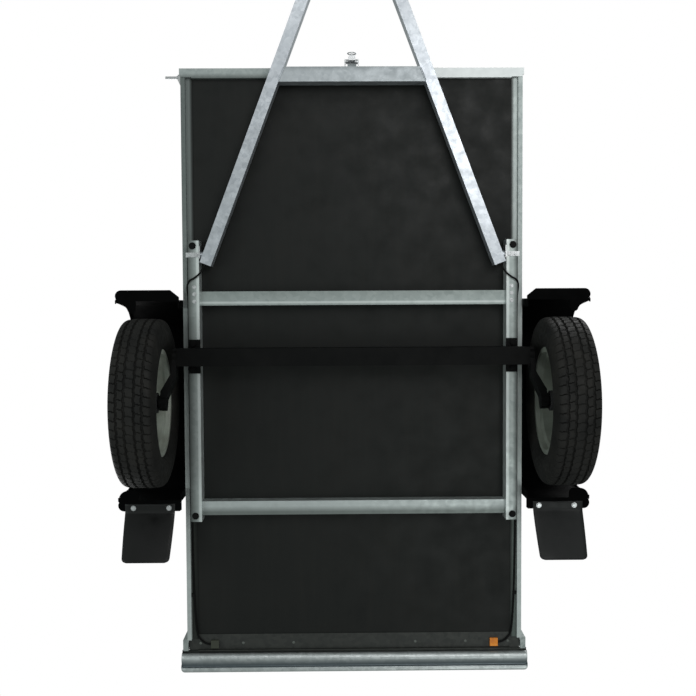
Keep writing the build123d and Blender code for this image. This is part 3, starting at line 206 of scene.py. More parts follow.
def black_paint_finish(name, colour, rough, dust, orange_peel=90.0, gloss_level=0.1):
    """Satin black paint with road dust in patches and a fine ripple."""
    made, tree, shader, spot = new_finish(name, rough)
    shader.inputs["Specular IOR Level"].default_value = gloss_level
    patch = band(tree, noise(tree, spot, 9.0, 6.0), 0.5, 0.8, 0.0, dust)
    shade = blend_colour(tree, patch, colour, (0.022, 0.021, 0.019))
    tree.links.new(shade, shader.inputs["Base Color"])
    gloss = band(tree, noise(tree, spot, 24.0), 0.3, 0.7, rough - 0.08, rough + 0.15)
    tree.links.new(gloss, shader.inputs["Roughness"])
    raise_surface(tree, shader, noise(tree, spot, orange_peel, 2.0), 0.2)
    return made


axle_paint = black_paint_finish("axle_paint", (0.0026, 0.0028, 0.0028), 0.5, 0.16)
for node in ("axle_tube", "axle_mounts", "swing_arm_left", "swing_arm_right"):
    wear(node, axle_paint)
cord_rubber = black_paint_finish("cord_rubber", (0.012, 0.012, 0.012), 0.8, 0.5, 300.0)
wear("rubber_cords", cord_rubber)

# ------------------------------------------------------------------ wheels
# Pressed steel rims in pale grey enamel carry narrow trailer tyres. The tread is
# moulded with four grooves and short cross slots between them.
wheel_low, wheel_high = [np.array(corner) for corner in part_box("tyre_right")]
wheel_middle = (wheel_low + wheel_high) / 2
tyre_radius = (wheel_high[2] - wheel_low[2]) / 2
tyre_half = (wheel_high[0] - wheel_low[0]) / 2


def round_off(points, times=3):
    """Corner cutting: each pass puts points at a quarter and three quarters of every run."""
    points = np.asarray(points, float)
    for _ in range(times):
        early = 0.75 * points[:-1] + 0.25 * points[1:]
        late = 0.25 * points[:-1] + 0.75 * points[1:]
        middle = np.stack([early, late], 1).reshape(-1, points.shape[1])
        points = np.vstack([points[:1], middle, points[-1:]])
    return points


def evenly(points, count):
    """Points at equal steps of length along a run of points."""
    steps = np.linalg.norm(np.diff(points, axis=0), axis=1)
    length = np.concatenate([[0.0], np.cumsum(steps)])
    wanted = np.linspace(0.0, length[-1], count)
    return np.stack([np.interp(wanted, length, points[:, k]) for k in range(points.shape[1])], 1)


def surface(name, grid, wrap_u, wrap_v, smooth=True, flip=False):
    """Mesh object from a grid of points (u, v, xyz); wraps close it along u or v."""
    rows, columns = grid.shape[:2]
    index = np.arange(rows * columns).reshape(rows, columns)
    if wrap_u:
        index = np.vstack([index, index[:1]])
    if wrap_v:
        index = np.hstack([index, index[:, :1]])
    corners = [index[:-1, :-1], index[1:, :-1], index[1:, 1:], index[:-1, 1:]]
    if flip:
        corners = corners[::-1]
    faces = np.stack(corners, -1).reshape(-1, 4)
    return mesh_piece(name, grid.reshape(-1, 3), faces, smooth)


def mesh_piece(name, points, faces, smooth=True):
    """Mesh object from arrays of points and of equal-sided faces."""
    mesh = bpy.data.meshes.new(name)
    sides = faces.shape[1]
    mesh.vertices.add(len(points))
    mesh.vertices.foreach_set("co", np.ascontiguousarray(points, np.float32).ravel())
    mesh.loops.add(faces.size)
    mesh.loops.foreach_set("vertex_index", faces.ravel().astype(np.int32))
    mesh.polygons.add(len(faces))
    mesh.polygons.foreach_set("loop_start", np.arange(0, faces.size, sides, dtype=np.int32))
    mesh.polygons.foreach_set("use_smooth", np.full(len(faces), smooth))
    mesh.update(calc_edges=True)
    mesh.validate()
    if smooth:
        mesh.set_sharp_from_angle(angle=math.radians(38.0))
    made = bpy.data.objects.new(name, mesh)
    bpy.context.scene.collection.objects.link(made)
    return made


def moulded_tyre(name, centre, side):
    """Section swept round the axle: radius falls by the groove and slot depths.

    The outer line runs bead, sidewall, crown, sidewall, bead; the inner line closes it.
    A groove lowers the crown where the width is near its place; a slot lowers it over
    two steps in each pitch, on alternate ribs half a pitch apart.
    """
    r = tyre_radius
    w = tyre_half
    wall = [
        (0.0412, 0.1663),
        (0.0499, 0.1681),
        (0.0501, 0.1812),
        (0.0590, 0.1842),
        (w - 0.0050, r - 0.0860),
        (w + 0.0004, r - 0.0700),
        (w + 0.0001, r - 0.0480),
        (w - 0.0040, r - 0.0260),
        (w - 0.0095, r - 0.0100),
        (w - 0.0170, r - 0.0035),
        (w - 0.0300, r - 0.0010),
        (w - 0.0450, r),
        (0.0, r),
    ]
    wall = np.vstack([wall[:3], round_off(wall[2:], 3)[1:]])
    outer = np.vstack([wall, (wall * [-1.0, 1.0])[::-1][1:]])
    crown = outer[outer[:, 1] > r - 0.012]
    dense = evenly(crown, 62)
    first = evenly(outer[: np.argmax(outer[:, 1] > r - 0.012)], 26)
    outer = np.vstack([first, dense, (first * [-1.0, 1.0])[::-1]])
    inner_points = [
        (-0.0412, 0.186),
        (-0.0500, 0.1935),
        (-0.0615, 0.207),
        (-0.0635, 0.226),
        (-0.056, 0.257),
        (-0.044, 0.266),
        (0.0, 0.2665),
    ]
    inner = round_off(inner_points, 2)
    inner = evenly(np.vstack([inner, (inner * [-1.0, 1.0])[::-1][1:]]), 24)
    section = np.vstack([outer, inner])
    steps = 720
    pitch = 12
    turn = 2 * np.pi * np.arange(steps) / steps
    across = section[:, 0][None, :]
    radius = np.repeat(section[:, 1][None, :], steps, 0)
    tread = np.zeros(len(section))
    tread[len(first) : len(first) + len(dense)] = 1.0
    tread = tread[None, :]
    zigzag = 0.0011 * np.sign(np.sin(turn * steps / pitch / 2 * 2))[:, None]
    depth = np.zeros_like(radius)
    for spot in (-0.0405, -0.0150, 0.0150, 0.0405):
        near = np.abs(across - spot - zigzag)
        depth = np.maximum(depth, 0.0068 * np.clip((0.0036 - near) / 0.0009, 0, 1))
    beat = (np.arange(steps) % pitch)[:, None]
    for low, high, shift, deep in (
        (0.0420, 0.0660, 0, 0.0055),
        (-0.0660, -0.0420, 6, 0.0055),
        (0.0180, 0.0390, 3, 0.0042),
        (-0.0390, -0.0180, 9, 0.0042),
        (-0.0120, 0.0120, 6, 0.0026),
    ):
        open_here = (across > low) & (across < high)
        slanted = np.floor((across - low) / 0.010).astype(int)
        cut = ((beat - shift - slanted) % pitch) < 1
        depth = np.maximum(depth, np.where(open_here & cut, deep, 0.0))
    radius = radius - depth * tread
    grid = np.stack(
        [
            centre[0] + np.repeat(across, steps, 0) * side,
            centre[1] + radius * np.cos(turn)[:, None],
            centre[2] + radius * np.sin(turn)[:, None],
        ],
        -1,
    )
    return surface(name, grid, True, True, smooth=False, flip=side < 0)


def tyre_rubber_finish(name):
    """Black rubber, greyer on the worn tread, with a dusty bloom in patches."""
    made, tree, shader, spot = new_finish(name, 0.72)
    shader.inputs["Specular IOR Level"].default_value = 0.18
    cloud = band(tree, noise(tree, spot, 14.0, 6.0), 0.35, 0.75, 0.0, 1.0)
    shade = blend_colour(tree, cloud, (0.0105, 0.0105, 0.010), (0.021, 0.020, 0.018))
    tree.links.new(shade, shader.inputs["Base Color"])
    gloss = band(tree, noise(tree, spot, 60.0), 0.3, 0.7, 0.6, 0.85)
    tree.links.new(gloss, shader.inputs["Roughness"])
    raise_surface(tree, shader, noise(tree, spot, 420.0, 2.0), 0.25)
    return made


tyre_rubber = tyre_rubber_finish("tyre_rubber")
for side, word in ((1, "right"), (-1, "left")):
    centre = wheel_middle * [side, 1, 1]
    tyre = moulded_tyre("tyre_" + word + "_moulded", centre, side)
    tyre.data.materials.append(tyre_rubber)
    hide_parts("tyre_" + word)
    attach(tyre, "wheel_" + word)

# Rims, hubs and bearings keep their turned shapes: enamel, cast iron and ground steel.
rim_enamel, tree, shader, spot = new_finish("rim_enamel", 0.45)
film = band(tree, noise(tree, spot, 18.0, 6.0), 0.4, 0.75, 0.0, 0.55)
shade = blend_colour(tree, film, (0.36, 0.39, 0.34), (0.16, 0.16, 0.13))
tree.links.new(shade, shader.inputs["Base Color"])
raise_surface(tree, shader, noise(tree, spot, 120.0, 2.0), 0.08)
tree, shader, clean, x, y, away = open_finish(rim_enamel)
# Painted shade: the rim on the negative-X side is darkened.
shade = blend_colour(tree, band(tree, x, 0.1, -0.1, 0.0, 0.5), clean, (0.06, 0.07, 0.055))
tree.links.new(shade, shader.inputs["Base Color"])
hub_iron = black_paint_finish("hub_iron", (0.035, 0.035, 0.036), 0.6, 0.4, 200.0)


def ground_steel_finish(name, colour, rough):
    """Bright steel with fine turning lines and a little staining."""
    made, tree, shader, spot = new_finish(name, rough, 1.0)
    stain = band(tree, noise(tree, spot, 45.0, 5.0), 0.45, 0.8, 0.0, 0.5)
    shade = blend_colour(tree, stain, colour, tuple(0.5 * part for part in colour))
    tree.links.new(shade, shader.inputs["Base Color"])
    gloss = band(tree, noise(tree, spot, 300.0, 2.0), 0.3, 0.7, rough - 0.08, rough + 0.14)
    tree.links.new(gloss, shader.inputs["Roughness"])
    return made


bearing_steel = ground_steel_finish("bearing_steel", (0.55, 0.55, 0.56), 0.28)
for word in ("left", "right"):
    wear("rim_" + word, rim_enamel)
    wear("hub_" + word, hub_iron)
    wear("bearings_" + word, bearing_steel)

# ------------------------------------------------------------------ fasteners
# Zinc-plated hexagon bolts: washer, six-sided head and a shallow chamfered crown.
bolt_zinc = ground_steel_finish("bolt_zinc", (0.62, 0.63, 0.64), 0.33)


def hexagon_heads(name, spots, axis, across_flats, height, washer):
    """Each head is a surface of angle and profile; the radius of its flats is
    half the width over the cosine of the angle from the nearest flat's middle."""
    axis = np.array(axis, float)
    first = np.cross(axis, [0.31, 0.52, 0.79])
    first /= np.linalg.norm(first)
    second = np.cross(axis, first)
    turn = 2 * np.pi * np.arange(24) / 24
    nearest = (turn + np.pi / 6) % (np.pi / 3) - np.pi / 6
    flats = across_flats / 2 / np.cos(nearest)
    round_part = np.ones_like(turn)
    thick = 0.12 * height
    profile = [
        (0.0, 0.0 * round_part),
        (0.0, washer * round_part),
        (thick, washer * round_part),
        (thick, flats),
        (0.88 * height, flats),
        (height, 0.97 * across_flats / 2 * round_part),
        (height, 0.0 * round_part),
    ]
    rise = np.array([level for level, _ in profile])
    reach = np.array([ring for _, ring in profile])
    shape = (
        rise[:, None, None] * axis
        + (reach * np.cos(turn))[..., None] * first
        + (reach * np.sin(turn))[..., None] * second
    )
    rows = len(profile)
    index = np.arange(rows * 24).reshape(rows, 24)
    index = np.hstack([index, index[:, :1]])
    faces = np.stack([index[:-1, :-1], index[:-1, 1:], index[1:, 1:], index[1:, :-1]], -1).reshape(-1, 4)
    spots = np.asarray(spots, float)
    points = (shape.reshape(1, -1, 3) + spots[:, None, :]).reshape(-1, 3)
    jump = (np.arange(len(spots)) * rows * 24)[:, None, None]
    faces = (faces[None] + jump).reshape(-1, 4)
    made = mesh_piece(name, points, faces, smooth=False)
    made.data.materials.append(bolt_zinc)
    return made


def close_up(piece):
    """Merges doubled points and drops the flat faces that they leave."""
    import bmesh

    work = bmesh.new()
    work.from_mesh(piece.data)
    bmesh.ops.remove_doubles(work, verts=work.verts, dist=1e-6)
    bmesh.ops.recalc_face_normals(work, faces=work.faces)
    work.to_mesh(piece.data)
    work.free()
    return piece


for side, word in ((1, "right"), (-1, "left")):
    low, high = [np.array(corner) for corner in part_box("wheel_bolts_" + word)]
    middle = (low + high) / 2
    reach = (high[1] - low[1]) / 2 - 0.0095
    seat = high[0] - 0.012 if side > 0 else low[0] + 0.012
    spots = [(seat, middle[1] + a * reach, middle[2] + b * reach) for a in (-1, 1) for b in (-1, 1)]
    heads = close_up(hexagon_heads("wheel_nuts_" + word, spots, (side, 0, 0), 0.0170, 0.012, 0.0094))
    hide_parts("wheel_bolts_" + word)
    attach(heads, "wheel_" + word)



def loose_boxes(node):
    """Corners of each separate solid of a CAD node. Points at one place share a label,
    and each edge gives both its ends the lower label until none changes."""
    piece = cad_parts[node]
    points = np.empty(3 * len(piece.data.vertices))
    piece.data.vertices.foreach_get("co", points)
    turn = np.array(piece.matrix_world)
    points = points.reshape(-1, 3) @ turn[:3, :3].T + turn[:3, 3]
    edges = np.empty(2 * len(piece.data.edges), dtype=np.int32)
    piece.data.edges.foreach_get("vertices", edges)
    _, label = np.unique(np.round(points, 6), axis=0, return_inverse=True)
    label = label.ravel()
    one, other = label[edges.reshape(-1, 2)].T
    group = np.arange(label.max() + 1)
    while True:
        before = group.copy()
        lowest = np.minimum(group[one], group[other])
        np.minimum.at(group, one, lowest)
        np.minimum.at(group, other, lowest)
        group = group[group]
        if np.array_equal(group, before):
            break
    owner = group[label]
    return [(points[owner == k].min(0), points[owner == k].max(0)) for k in np.unique(owner)]


def domed_heads(name, spots, axis, radius, height):
    """Low round heads: the rise follows the cosine of the angle out from the middle."""
    axis = np.array(axis, float)
    first = np.cross(axis, [0.31, 0.52, 0.79])
    first /= np.linalg.norm(first)
    second = np.cross(axis, first)
    turn = 2 * np.pi * np.arange(20) / 20
    out = np.linspace(np.pi / 2, 0.04, 6)
    rise = np.concatenate([[0.0], 0.25 * height + 0.75 * height * np.cos(out)])
    reach = radius * np.concatenate([[1.0], np.sin(out)])
    shape = (
        rise[:, None, None] * axis
        + (reach[:, None] * np.cos(turn))[..., None] * first
        + (reach[:, None] * np.sin(turn))[..., None] * second
    )
    rows = len(rise)
    index = np.arange(rows * 20).reshape(rows, 20)
    index = np.hstack([index, index[:, :1]])
    faces = np.stack([index[:-1, :-1], index[:-1, 1:], index[1:, 1:], index[1:, :-1]], -1).reshape(-1, 4)
    spots = np.asarray(spots, float)
    points = (shape.reshape(1, -1, 3) + spots[:, None, :]).reshape(-1, 3)
    jump = (np.arange(len(spots)) * rows * 20)[:, None, None]
    made = mesh_piece(name, points, (faces[None] + jump).reshape(-1, 4))
    made.data.materials.append(bolt_zinc)
    return made


down = (0, 0, -1)
spots = [((low + high)[0] / 2, (low + high)[1] / 2, high[2]) for low, high in loose_boxes("chassis_bolts")]
heads = close_up(hexagon_heads("axle_bolt_heads", spots, down, 0.0190, 0.0080, 0.0120))
heads.data.materials[0] = axle_paint
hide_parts("chassis_bolts")
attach(heads, "chassis")

spots = [((low + high)[0] / 2, (low + high)[1] / 2, high[2]) for low, high in loose_boxes("floor_screws")]
heads = domed_heads("floor_screw_heads", spots, down, 0.0052, 0.0026)
heads.data.materials[0] = black_paint_finish("screw_film", (0.10, 0.11, 0.10), 0.55, 0.6, 300.0, 0.5)
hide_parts("floor_screws")
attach(heads, "chassis")

# The flap bolts have hexagon heads and washers below the flap and nuts above the guard.
boxes = loose_boxes("mudflap_bolts")
spots = [((low + high)[0] / 2, (low + high)[1] / 2, low[2] + 0.004) for low, high in boxes]
heads = close_up(hexagon_heads("flap_bolt_heads", spots, down, 0.0130, 0.0055, 0.0090))
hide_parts("mudflap_bolts")
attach(heads, "chassis")
spots = [((low + high)[0] / 2, (low + high)[1] / 2, high[2] - 0.008) for low, high in boxes]
nuts = close_up(hexagon_heads("flap_bolt_nuts", spots, (0, 0, 1), 0.0130, 0.0065, 0.0075))
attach(nuts, "chassis")

# Small bolts hold the tilt bracket's foot and the axle strap below each rail.
foot_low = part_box("tilt_brackets")[0]
rail_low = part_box("chassis_rails")[0][2]
foot_y = foot_low[1] + 0.0120
foot_spots = [(side * x, foot_y, foot_low[2]) for side in (-1, 1) for x in (0.5350, 0.5560)]
strap_backs = (0.1100, 0.1340, 0.1590)
strap_spots = [(side * 0.5430, foot_y - back, rail_low) for side in (-1, 1) for back in strap_backs]
heads = close_up(hexagon_heads("rail_bolt_heads", foot_spots + strap_spots, down, 0.0100, 0.0050, 0.0070))
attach(heads, "chassis")

for node in ("tilt_pivot_bolts", "tilt_brackets"):
    wear(node, bolt_zinc)

# ------------------------------------------------------------------ floor
# One sheet of birch plywood with a dark brown-black phenolic film on both faces.
ply_film, tree, shader, spot = new_finish("ply_film", 0.5)
shader.inputs["Specular IOR Level"].default_value = 0.22
cloud = band(tree, noise(tree, spot, 3.2, 5.0), 0.3, 0.75, 0.0, 1.0)
shade = blend_colour(tree, cloud, (0.0070, 0.0080, 0.0074), (0.0098, 0.0102, 0.0092))
streak = band(tree, noise(tree, spot, 6.0, 4.0, stretch=(9.0, 0.7, 1.0)), 0.45, 0.8, 0.0, 0.35)
shade = blend_colour(tree, streak, shade, (0.0135, 0.0135, 0.0115))
tree.links.new(shade, shader.inputs["Base Color"])
gloss = band(tree, noise(tree, spot, 14.0, 5.0), 0.3, 0.75, 0.42, 0.66)
tree.links.new(gloss, shader.inputs["Roughness"])
raise_surface(tree, shader, noise(tree, spot, 240.0, 2.0), 0.1)
wear("floor_panel", ply_film)

# ------------------------------------------------------------------ walls, sills and posts
# Rolled and folded sheet, zinc coated in the mill: brighter than the dipped chassis,
# with a finer crystal.
section_zinc = zinc_finish("section_zinc", (0.30, 0.34, 0.335), (0.42, 0.46, 0.45), crystal=0.010)
sheet_zinc = zinc_finish("sheet_zinc", (0.44, 0.46, 0.47), (0.56, 0.58, 0.59), 0.007, (0.3, 0.5))
wear("corner_posts", section_zinc)

# The front sill has a painted highlight towards negative X and a painted shadow along its rear edge on the
# positive-X side.
sill_zinc = zinc_finish("sill_zinc", (0.32, 0.36, 0.355), (0.40, 0.44, 0.43), 0.010, (0.5, 0.56), 0.4, 0.1)
tree, shader, clean, x, y, away = open_finish(sill_zinc)
# Painted highlight towards negative X.
shade = blend_colour(tree, band(tree, x, 0.05, -0.30, 0.0, 0.9), clean, (0.80, 0.83, 0.83))
rear_edge = band(tree, y, 0.5640, 0.5500, 0.0, 0.8)
painted_shadow_side = band(tree, x, -0.1, 0.2, 0.0, 1.0)
# Painted shadow along the rear edge, on the positive-X side.
shade = blend_colour(tree, both(tree, rear_edge, painted_shadow_side), shade, (0.10, 0.115, 0.11))
tree.links.new(shade, shader.inputs["Base Color"])
wear("front_sill", sill_zinc)

# The side sections carry painted light: the flange above the lip has painted shade, darker on the positive-X
# side and darkest towards the rear, with a painted shadow strip beside the rails; the lip has a painted
# highlight towards the rear and painted shade at the positive-X front.
side_zinc = zinc_finish("side_zinc", (0.30, 0.34, 0.335), (0.40, 0.44, 0.43), 0.010, (0.46, 0.54), 0.6, 0.15)
tree, shader, clean, x, y, away = open_finish(side_zinc)
# Painted shade on the flange: darker on the positive-X side, and darker at the rear than at the front.
front_tone = blend_colour(tree, band(tree, x, 0.1, -0.1, 0.0, 1.0), (0.17, 0.19, 0.185), (0.40, 0.44, 0.43))
rear_tone = blend_colour(tree, band(tree, x, 0.1, -0.1, 0.0, 1.0), (0.030, 0.034, 0.030), (0.10, 0.12, 0.11))
flange = blend_colour(tree, band(tree, y, -0.35, -1.0, 0.0, 1.0), front_tone, rear_tone)
# Painted shadow strip along the flange's inner edge, beside the rail.
flange = blend_colour(tree, band(tree, away, 0.5550, 0.5630, 0.92, 0.0), flange, (0.010, 0.011, 0.010))
# Painted highlight on the lip towards the rear.
lip = blend_colour(tree, band(tree, y, 0.2, -0.3, 0.0, 0.5), clean, (0.62, 0.66, 0.65))
# Painted shade on the positive-X lip towards the front.
left_front = both(tree, band(tree, x, 0.0, 0.3, 0.0, 1.0), band(tree, y, -0.75, 0.1, 0.0, 0.8))
lip = blend_colour(tree, left_front, lip, (0.09, 0.105, 0.10))
lip_share = band(tree, away, 0.5735, 0.5755, 0.0, 1.0)
tree.links.new(blend_colour(tree, lip_share, flange, lip), shader.inputs["Base Color"])
wear("side_rails", side_zinc)
for node in ("side_panel_left", "side_panel_right", "front_board", "tailboard"):
    wear(node, sheet_zinc)
sill_dark = zinc_finish("sill_dark", (0.022, 0.024, 0.022), (0.036, 0.038, 0.034), crystal=0.012, metal=0.2)
wear("rear_sill", sill_dark)
bar_zinc = zinc_finish("bar_zinc", (0.42, 0.45, 0.45), (0.54, 0.57, 0.57), crystal=0.012, rough=(0.3, 0.48))
bar_low, bar_high = [np.array(corner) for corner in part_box("lamp_bar")]
# Painted shade, with some road dirt, darkens the bar's fold and fades up the back of the bead; a painted
# shadow darkens the recessed leading flange.
tree, shader, clean, x, y, away = open_finish(bar_zinc)
into_fold = band(tree, y, bar_high[1] - 0.0230, bar_high[1] - 0.0450, 0.0, 0.93)
out_of_fold = band(tree, y, bar_high[1] - 0.0520, bar_high[1] - 0.0570, 1.0, 0.0)
shade = blend_colour(tree, both(tree, into_fold, out_of_fold), clean, (0.10, 0.125, 0.14))
# Painted shadow on the recessed leading flange.
flange = band(tree, y, bar_high[1] - 0.0088, bar_high[1] - 0.0080, 0.0, 1.0)
shade = blend_colour(tree, flange, shade, (0.022, 0.024, 0.022))
tree.links.new(shade, shader.inputs["Base Color"])


def rolled_bar(name):
    """Section carried along X: a round bead, a fold, then a broad lip. Its reach to the
    rear shrinks over the last stretch of each end by the sagitta of the corner's circle,
    and the end columns rise to the top edge to close it."""
    section = np.array(
        [
            (0.0, 0.0),
            (0.0, -0.0060),
            (0.0010, -0.0064),
            (0.0080, -0.0066),
            (0.0085, -0.0130),
            (0.0095, -0.0175),
            (0.0140, -0.0235),
            (0.0210, -0.0282),
            (0.0280, -0.0300),
            (0.0350, -0.0298),
            (0.0410, -0.0286),
            (0.0460, -0.0276),
            (0.0515, -0.0274),
            (0.0520, -0.0315),
            (0.0545, -0.0345),
            (0.0600, -0.0360),
            (0.0660, -0.0368),
            (0.0690, -0.0355),
            (0.0705, -0.0300),
            (0.0705, -0.0040),
            (0.0680, -0.0005),
            (0.0640, 0.0),
        ]
    )
    section = np.vstack([section[:1], round_off(section[1:-1], 2), section[-1:]])
    half = bar_high[0]
    corner = 0.012
    bend = np.linspace(0.0, 1.0, 9)
    right = np.concatenate([np.linspace(0.0, half - corner, 40), half - corner + corner * bend[1:], [half]])
    along = np.concatenate([-right[::-1], right[1:]])
    past = np.clip(np.abs(along) - (half - corner), 0.0, corner)
    cut = corner - np.sqrt(corner**2 - past**2 + 1e-12)
    reach = (bar_high[1] - bar_low[1] - cut) / (bar_high[1] - bar_low[1])
    grid = np.empty((len(along), len(section), 3))
    grid[..., 0] = along[:, None]
    grid[..., 1] = bar_high[1] - section[None, :, 0] * reach[:, None]
    grid[..., 2] = bar_high[2] + section[None, :, 1]
    grid[0, :, 2] = bar_high[2]
    grid[-1, :, 2] = bar_high[2]
    return surface(name, grid, False, True)


bar = rolled_bar("lamp_bar_rolled")
bar.data.materials.append(bar_zinc)
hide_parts("lamp_bar")
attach(bar, "chassis")
for node in ("front_latch_left", "front_latch_right", "tail_latch_left", "tail_latch_right"):
    wear(node, bolt_zinc)
for node in ("pin_plate", "front_board_pin"):
    wear(node, bolt_zinc)

# ------------------------------------------------------------------ lamps
# Moulded acrylic lenses with fine vertical flutes, in black housings.


def lens_finish(name, colour, glow_dark, painted_shade_colour=None):
    """Coloured clear plastic with flutes across it and a darker cloud inside. A darker colour of painted
    shade takes over on the right-hand side, where X is above nought."""
    made, tree, shader, spot = new_finish(name, 0.12)
    shader.inputs["Coat Weight"].default_value = 0.6
    shader.inputs["Coat Roughness"].default_value = 0.06
    flutes = tree.nodes.new("ShaderNodeTexWave")
    flutes.inputs["Scale"].default_value = 60.0
    tree.links.new(spot, flutes.inputs["Vector"])
    cloud = band(tree, noise(tree, spot, 50.0), 0.3, 0.8, 0.0, 1.0)
    shade = blend_colour(tree, cloud, colour, glow_dark)
    if painted_shade_colour is not None:
        side = tree.nodes.new("ShaderNodeSeparateXYZ")
        tree.links.new(spot, side.inputs["Vector"])
        shade = blend_colour(tree, band(tree, side.outputs["X"], -0.1, 0.1, 0.0, 1.0), shade, painted_shade_colour)
    tree.links.new(shade, shader.inputs["Base Color"])
    raise_surface(tree, shader, flutes.outputs["Fac"], 0.5, 0.0006)
    return made


wear("tail_lamp_red_lenses", lens_finish("red_lens", (0.42, 0.008, 0.006), (0.2, 0.004, 0.004)))
# The amber lens on the positive-X side is darkened with painted shade.
amber_lens = lens_finish("amber_lens", (0.9, 0.30, 0.02), (0.6, 0.16, 0.008), (0.030, 0.034, 0.020))
wear("tail_lamp_amber_lenses", amber_lens)
housing_black = black_paint_finish("housing_black", (0.01, 0.01, 0.01), 0.55, 0.2, 260.0)
wear("tail_lamp_housings", housing_black)

# ------------------------------------------------------------------ mudguards and flaps
# Black moulded plastic guards over the wheels, each with a stiff rubber flap bolted
# below its rear lip.
guard_plastic = black_paint_finish("guard_plastic", (0.0012, 0.0012, 0.0013), 0.58, 0.03, 380.0, 0.03)
for node in ("mudguard_left", "mudguard_right"):
    wear(node, guard_plastic)


def ear_web(name, side, end, outline):
    """Thin web in the guard's lip: its outline is given as inset from the outer edge and
    depth from the lip's end, corners rounded off, and carried between two heights."""
    low, high = [np.array(corner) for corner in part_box("mudguard_" + ("right" if side > 0 else "left"))]
    outline = np.array(outline)
    closed = np.vstack([outline, outline[:1]])
    closed = round_off(closed, 2)[:-1]
    outer = high[0] if side > 0 else low[0]
    tip = high[1] if end > 0 else low[1]
    ring = np.stack([outer - side * closed[:, 0], tip - end * closed[:, 1]], axis=1)
    middle = np.array([outer - side * 0.0560, tip - end * 0.0450])
    grid = np.empty((4, len(ring), 3))
    rows = ((middle, 0.0006), (ring, 0.0006), (ring, 0.0034), (middle, 0.0034))
    for row, (flat, height) in enumerate(rows):
        grid[row, :, :2] = flat
        grid[row, :, 2] = low[2] + height
    return surface(name, grid, False, True)


front_web = [
    (0.070, 0.025),
    (0.070, 0.077),
    (0.046, 0.079),
    (0.039, 0.060),
    (0.028, 0.053),
    (0.014, 0.047),
    (0.0015, 0.042),
    (0.001, 0.026),
]
rear_web = [
    (0.070, 0.025),
    (0.070, 0.070),
    (0.034, 0.072),
    (0.015, 0.066),
    (0.005, 0.054),
    (0.002, 0.040),
    (0.001, 0.026),
]
for side, word in ((1, "right"), (-1, "left")):
    for end, place, outline in ((1, "front", front_web), (-1, "rear", rear_web)):
        web = ear_web("guard_ear_" + place + "_" + word, side, end, outline)
        web.data.materials.append(guard_plastic)
        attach(web, "chassis")
flap_rubber = black_paint_finish("flap_rubber", (0.0060, 0.0068, 0.0068), 0.42, 0.3, 300.0, 0.3)
tree, shader, clean, x, y, away = open_finish(flap_rubber)
# Painted shade: the flap on the positive-X side is darker.
shade = blend_colour(tree, band(tree, x, -0.1, 0.1, 0.0, 0.85), clean, (0.0018, 0.002, 0.0019))
tree.links.new(shade, shader.inputs["Base Color"])


def hanging_flap(name, low, high):
    """Path along the flap's middle, flat under the lip and then sloping back; at each
    step a flat ring with rounded edges. Its half width follows a circle in the last
    stretch, so both lower corners are round, and the free end bellies a little."""
    thick = 0.0048
    root = high[2] - thick / 2
    knee = high[1] - 0.026
    tip = np.array([low[1] + 0.003, low[2] + 0.002])
    path = round_off([(high[1], root), (knee, root), (knee - 0.010, root - 0.003), tuple(tip)], 3)
    path = evenly(path, 60)
    steps = np.linalg.norm(np.diff(path, axis=0), axis=1)
    length = np.concatenate([[0.0], np.cumsum(steps)])
    ahead = np.gradient(path, axis=0)
    ahead /= np.linalg.norm(ahead, axis=1)[:, None]
    across = np.stack([-ahead[:, 1], ahead[:, 0]], 1)
    corner = 0.016
    past = np.clip(length - (length[-1] - corner), 0.0, corner)
    half = (high[0] - low[0]) / 2 - corner + np.sqrt(corner**2 - past**2 + 1e-9)
    half = half - 0.006 * (length / length[-1]) ** 2
    ring = np.linspace(-1.0, 1.0, 25)
    edge = 0.5 * thick * np.sqrt(np.clip(1.0 - np.abs(ring) ** 30, 0.0, 1.0))
    width = np.concatenate([ring, ring[::-1]])
    rise = np.concatenate([-edge, edge[::-1]])
    belly = 0.0030 * np.sin(np.pi * (width + 1.0) / 2)[None, :] * (length / length[-1])[:, None] ** 2
    grid = np.empty((len(path), len(width), 3))
    grid[..., 0] = (low[0] + high[0]) / 2 + half[:, None] * width[None, :]
    shift = rise[None, :] + belly
    grid[..., 1] = path[:, :1] + shift * across[:, :1]
    grid[..., 2] = path[:, 1:] + shift * across[:, 1:]
    grid[-1, :, 1:] = path[-1]
    grid[0, :, 2] = root
    return surface(name, grid, False, True)


for low, high in loose_boxes("mudflaps"):
    word = "right" if low[0] > 0 else "left"
    flap = hanging_flap("mudflap_" + word, low, high)
    flap.data.materials.append(flap_rubber)
    if word == "right":
        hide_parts("mudflaps")
    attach(flap, "chassis")

# ------------------------------------------------------------------ drawbar and coupling
# Square-cut rectangular tubes, dipped after welding, brighter than the body sections.
drawbar_zinc = zinc_finish("drawbar_zinc", (0.47, 0.50, 0.54), (0.60, 0.63, 0.67), 0.011, (0.3, 0.45))
for node in ("drawbar_beam_left", "drawbar_beam_right", "drawbar_nose", "safety_eye"):
    wear(node, drawbar_zinc)
# The crossbar has painted shade: a darker copy of the drawbar zinc, darkest in a painted shadow along its
# front edge.
crossbar_zinc = zinc_finish("crossbar_zinc", (0.38, 0.41, 0.43), (0.44, 0.47, 0.49), crystal=0.011, grime=0.2)
tree, shader, clean, x, y, away = open_finish(crossbar_zinc)
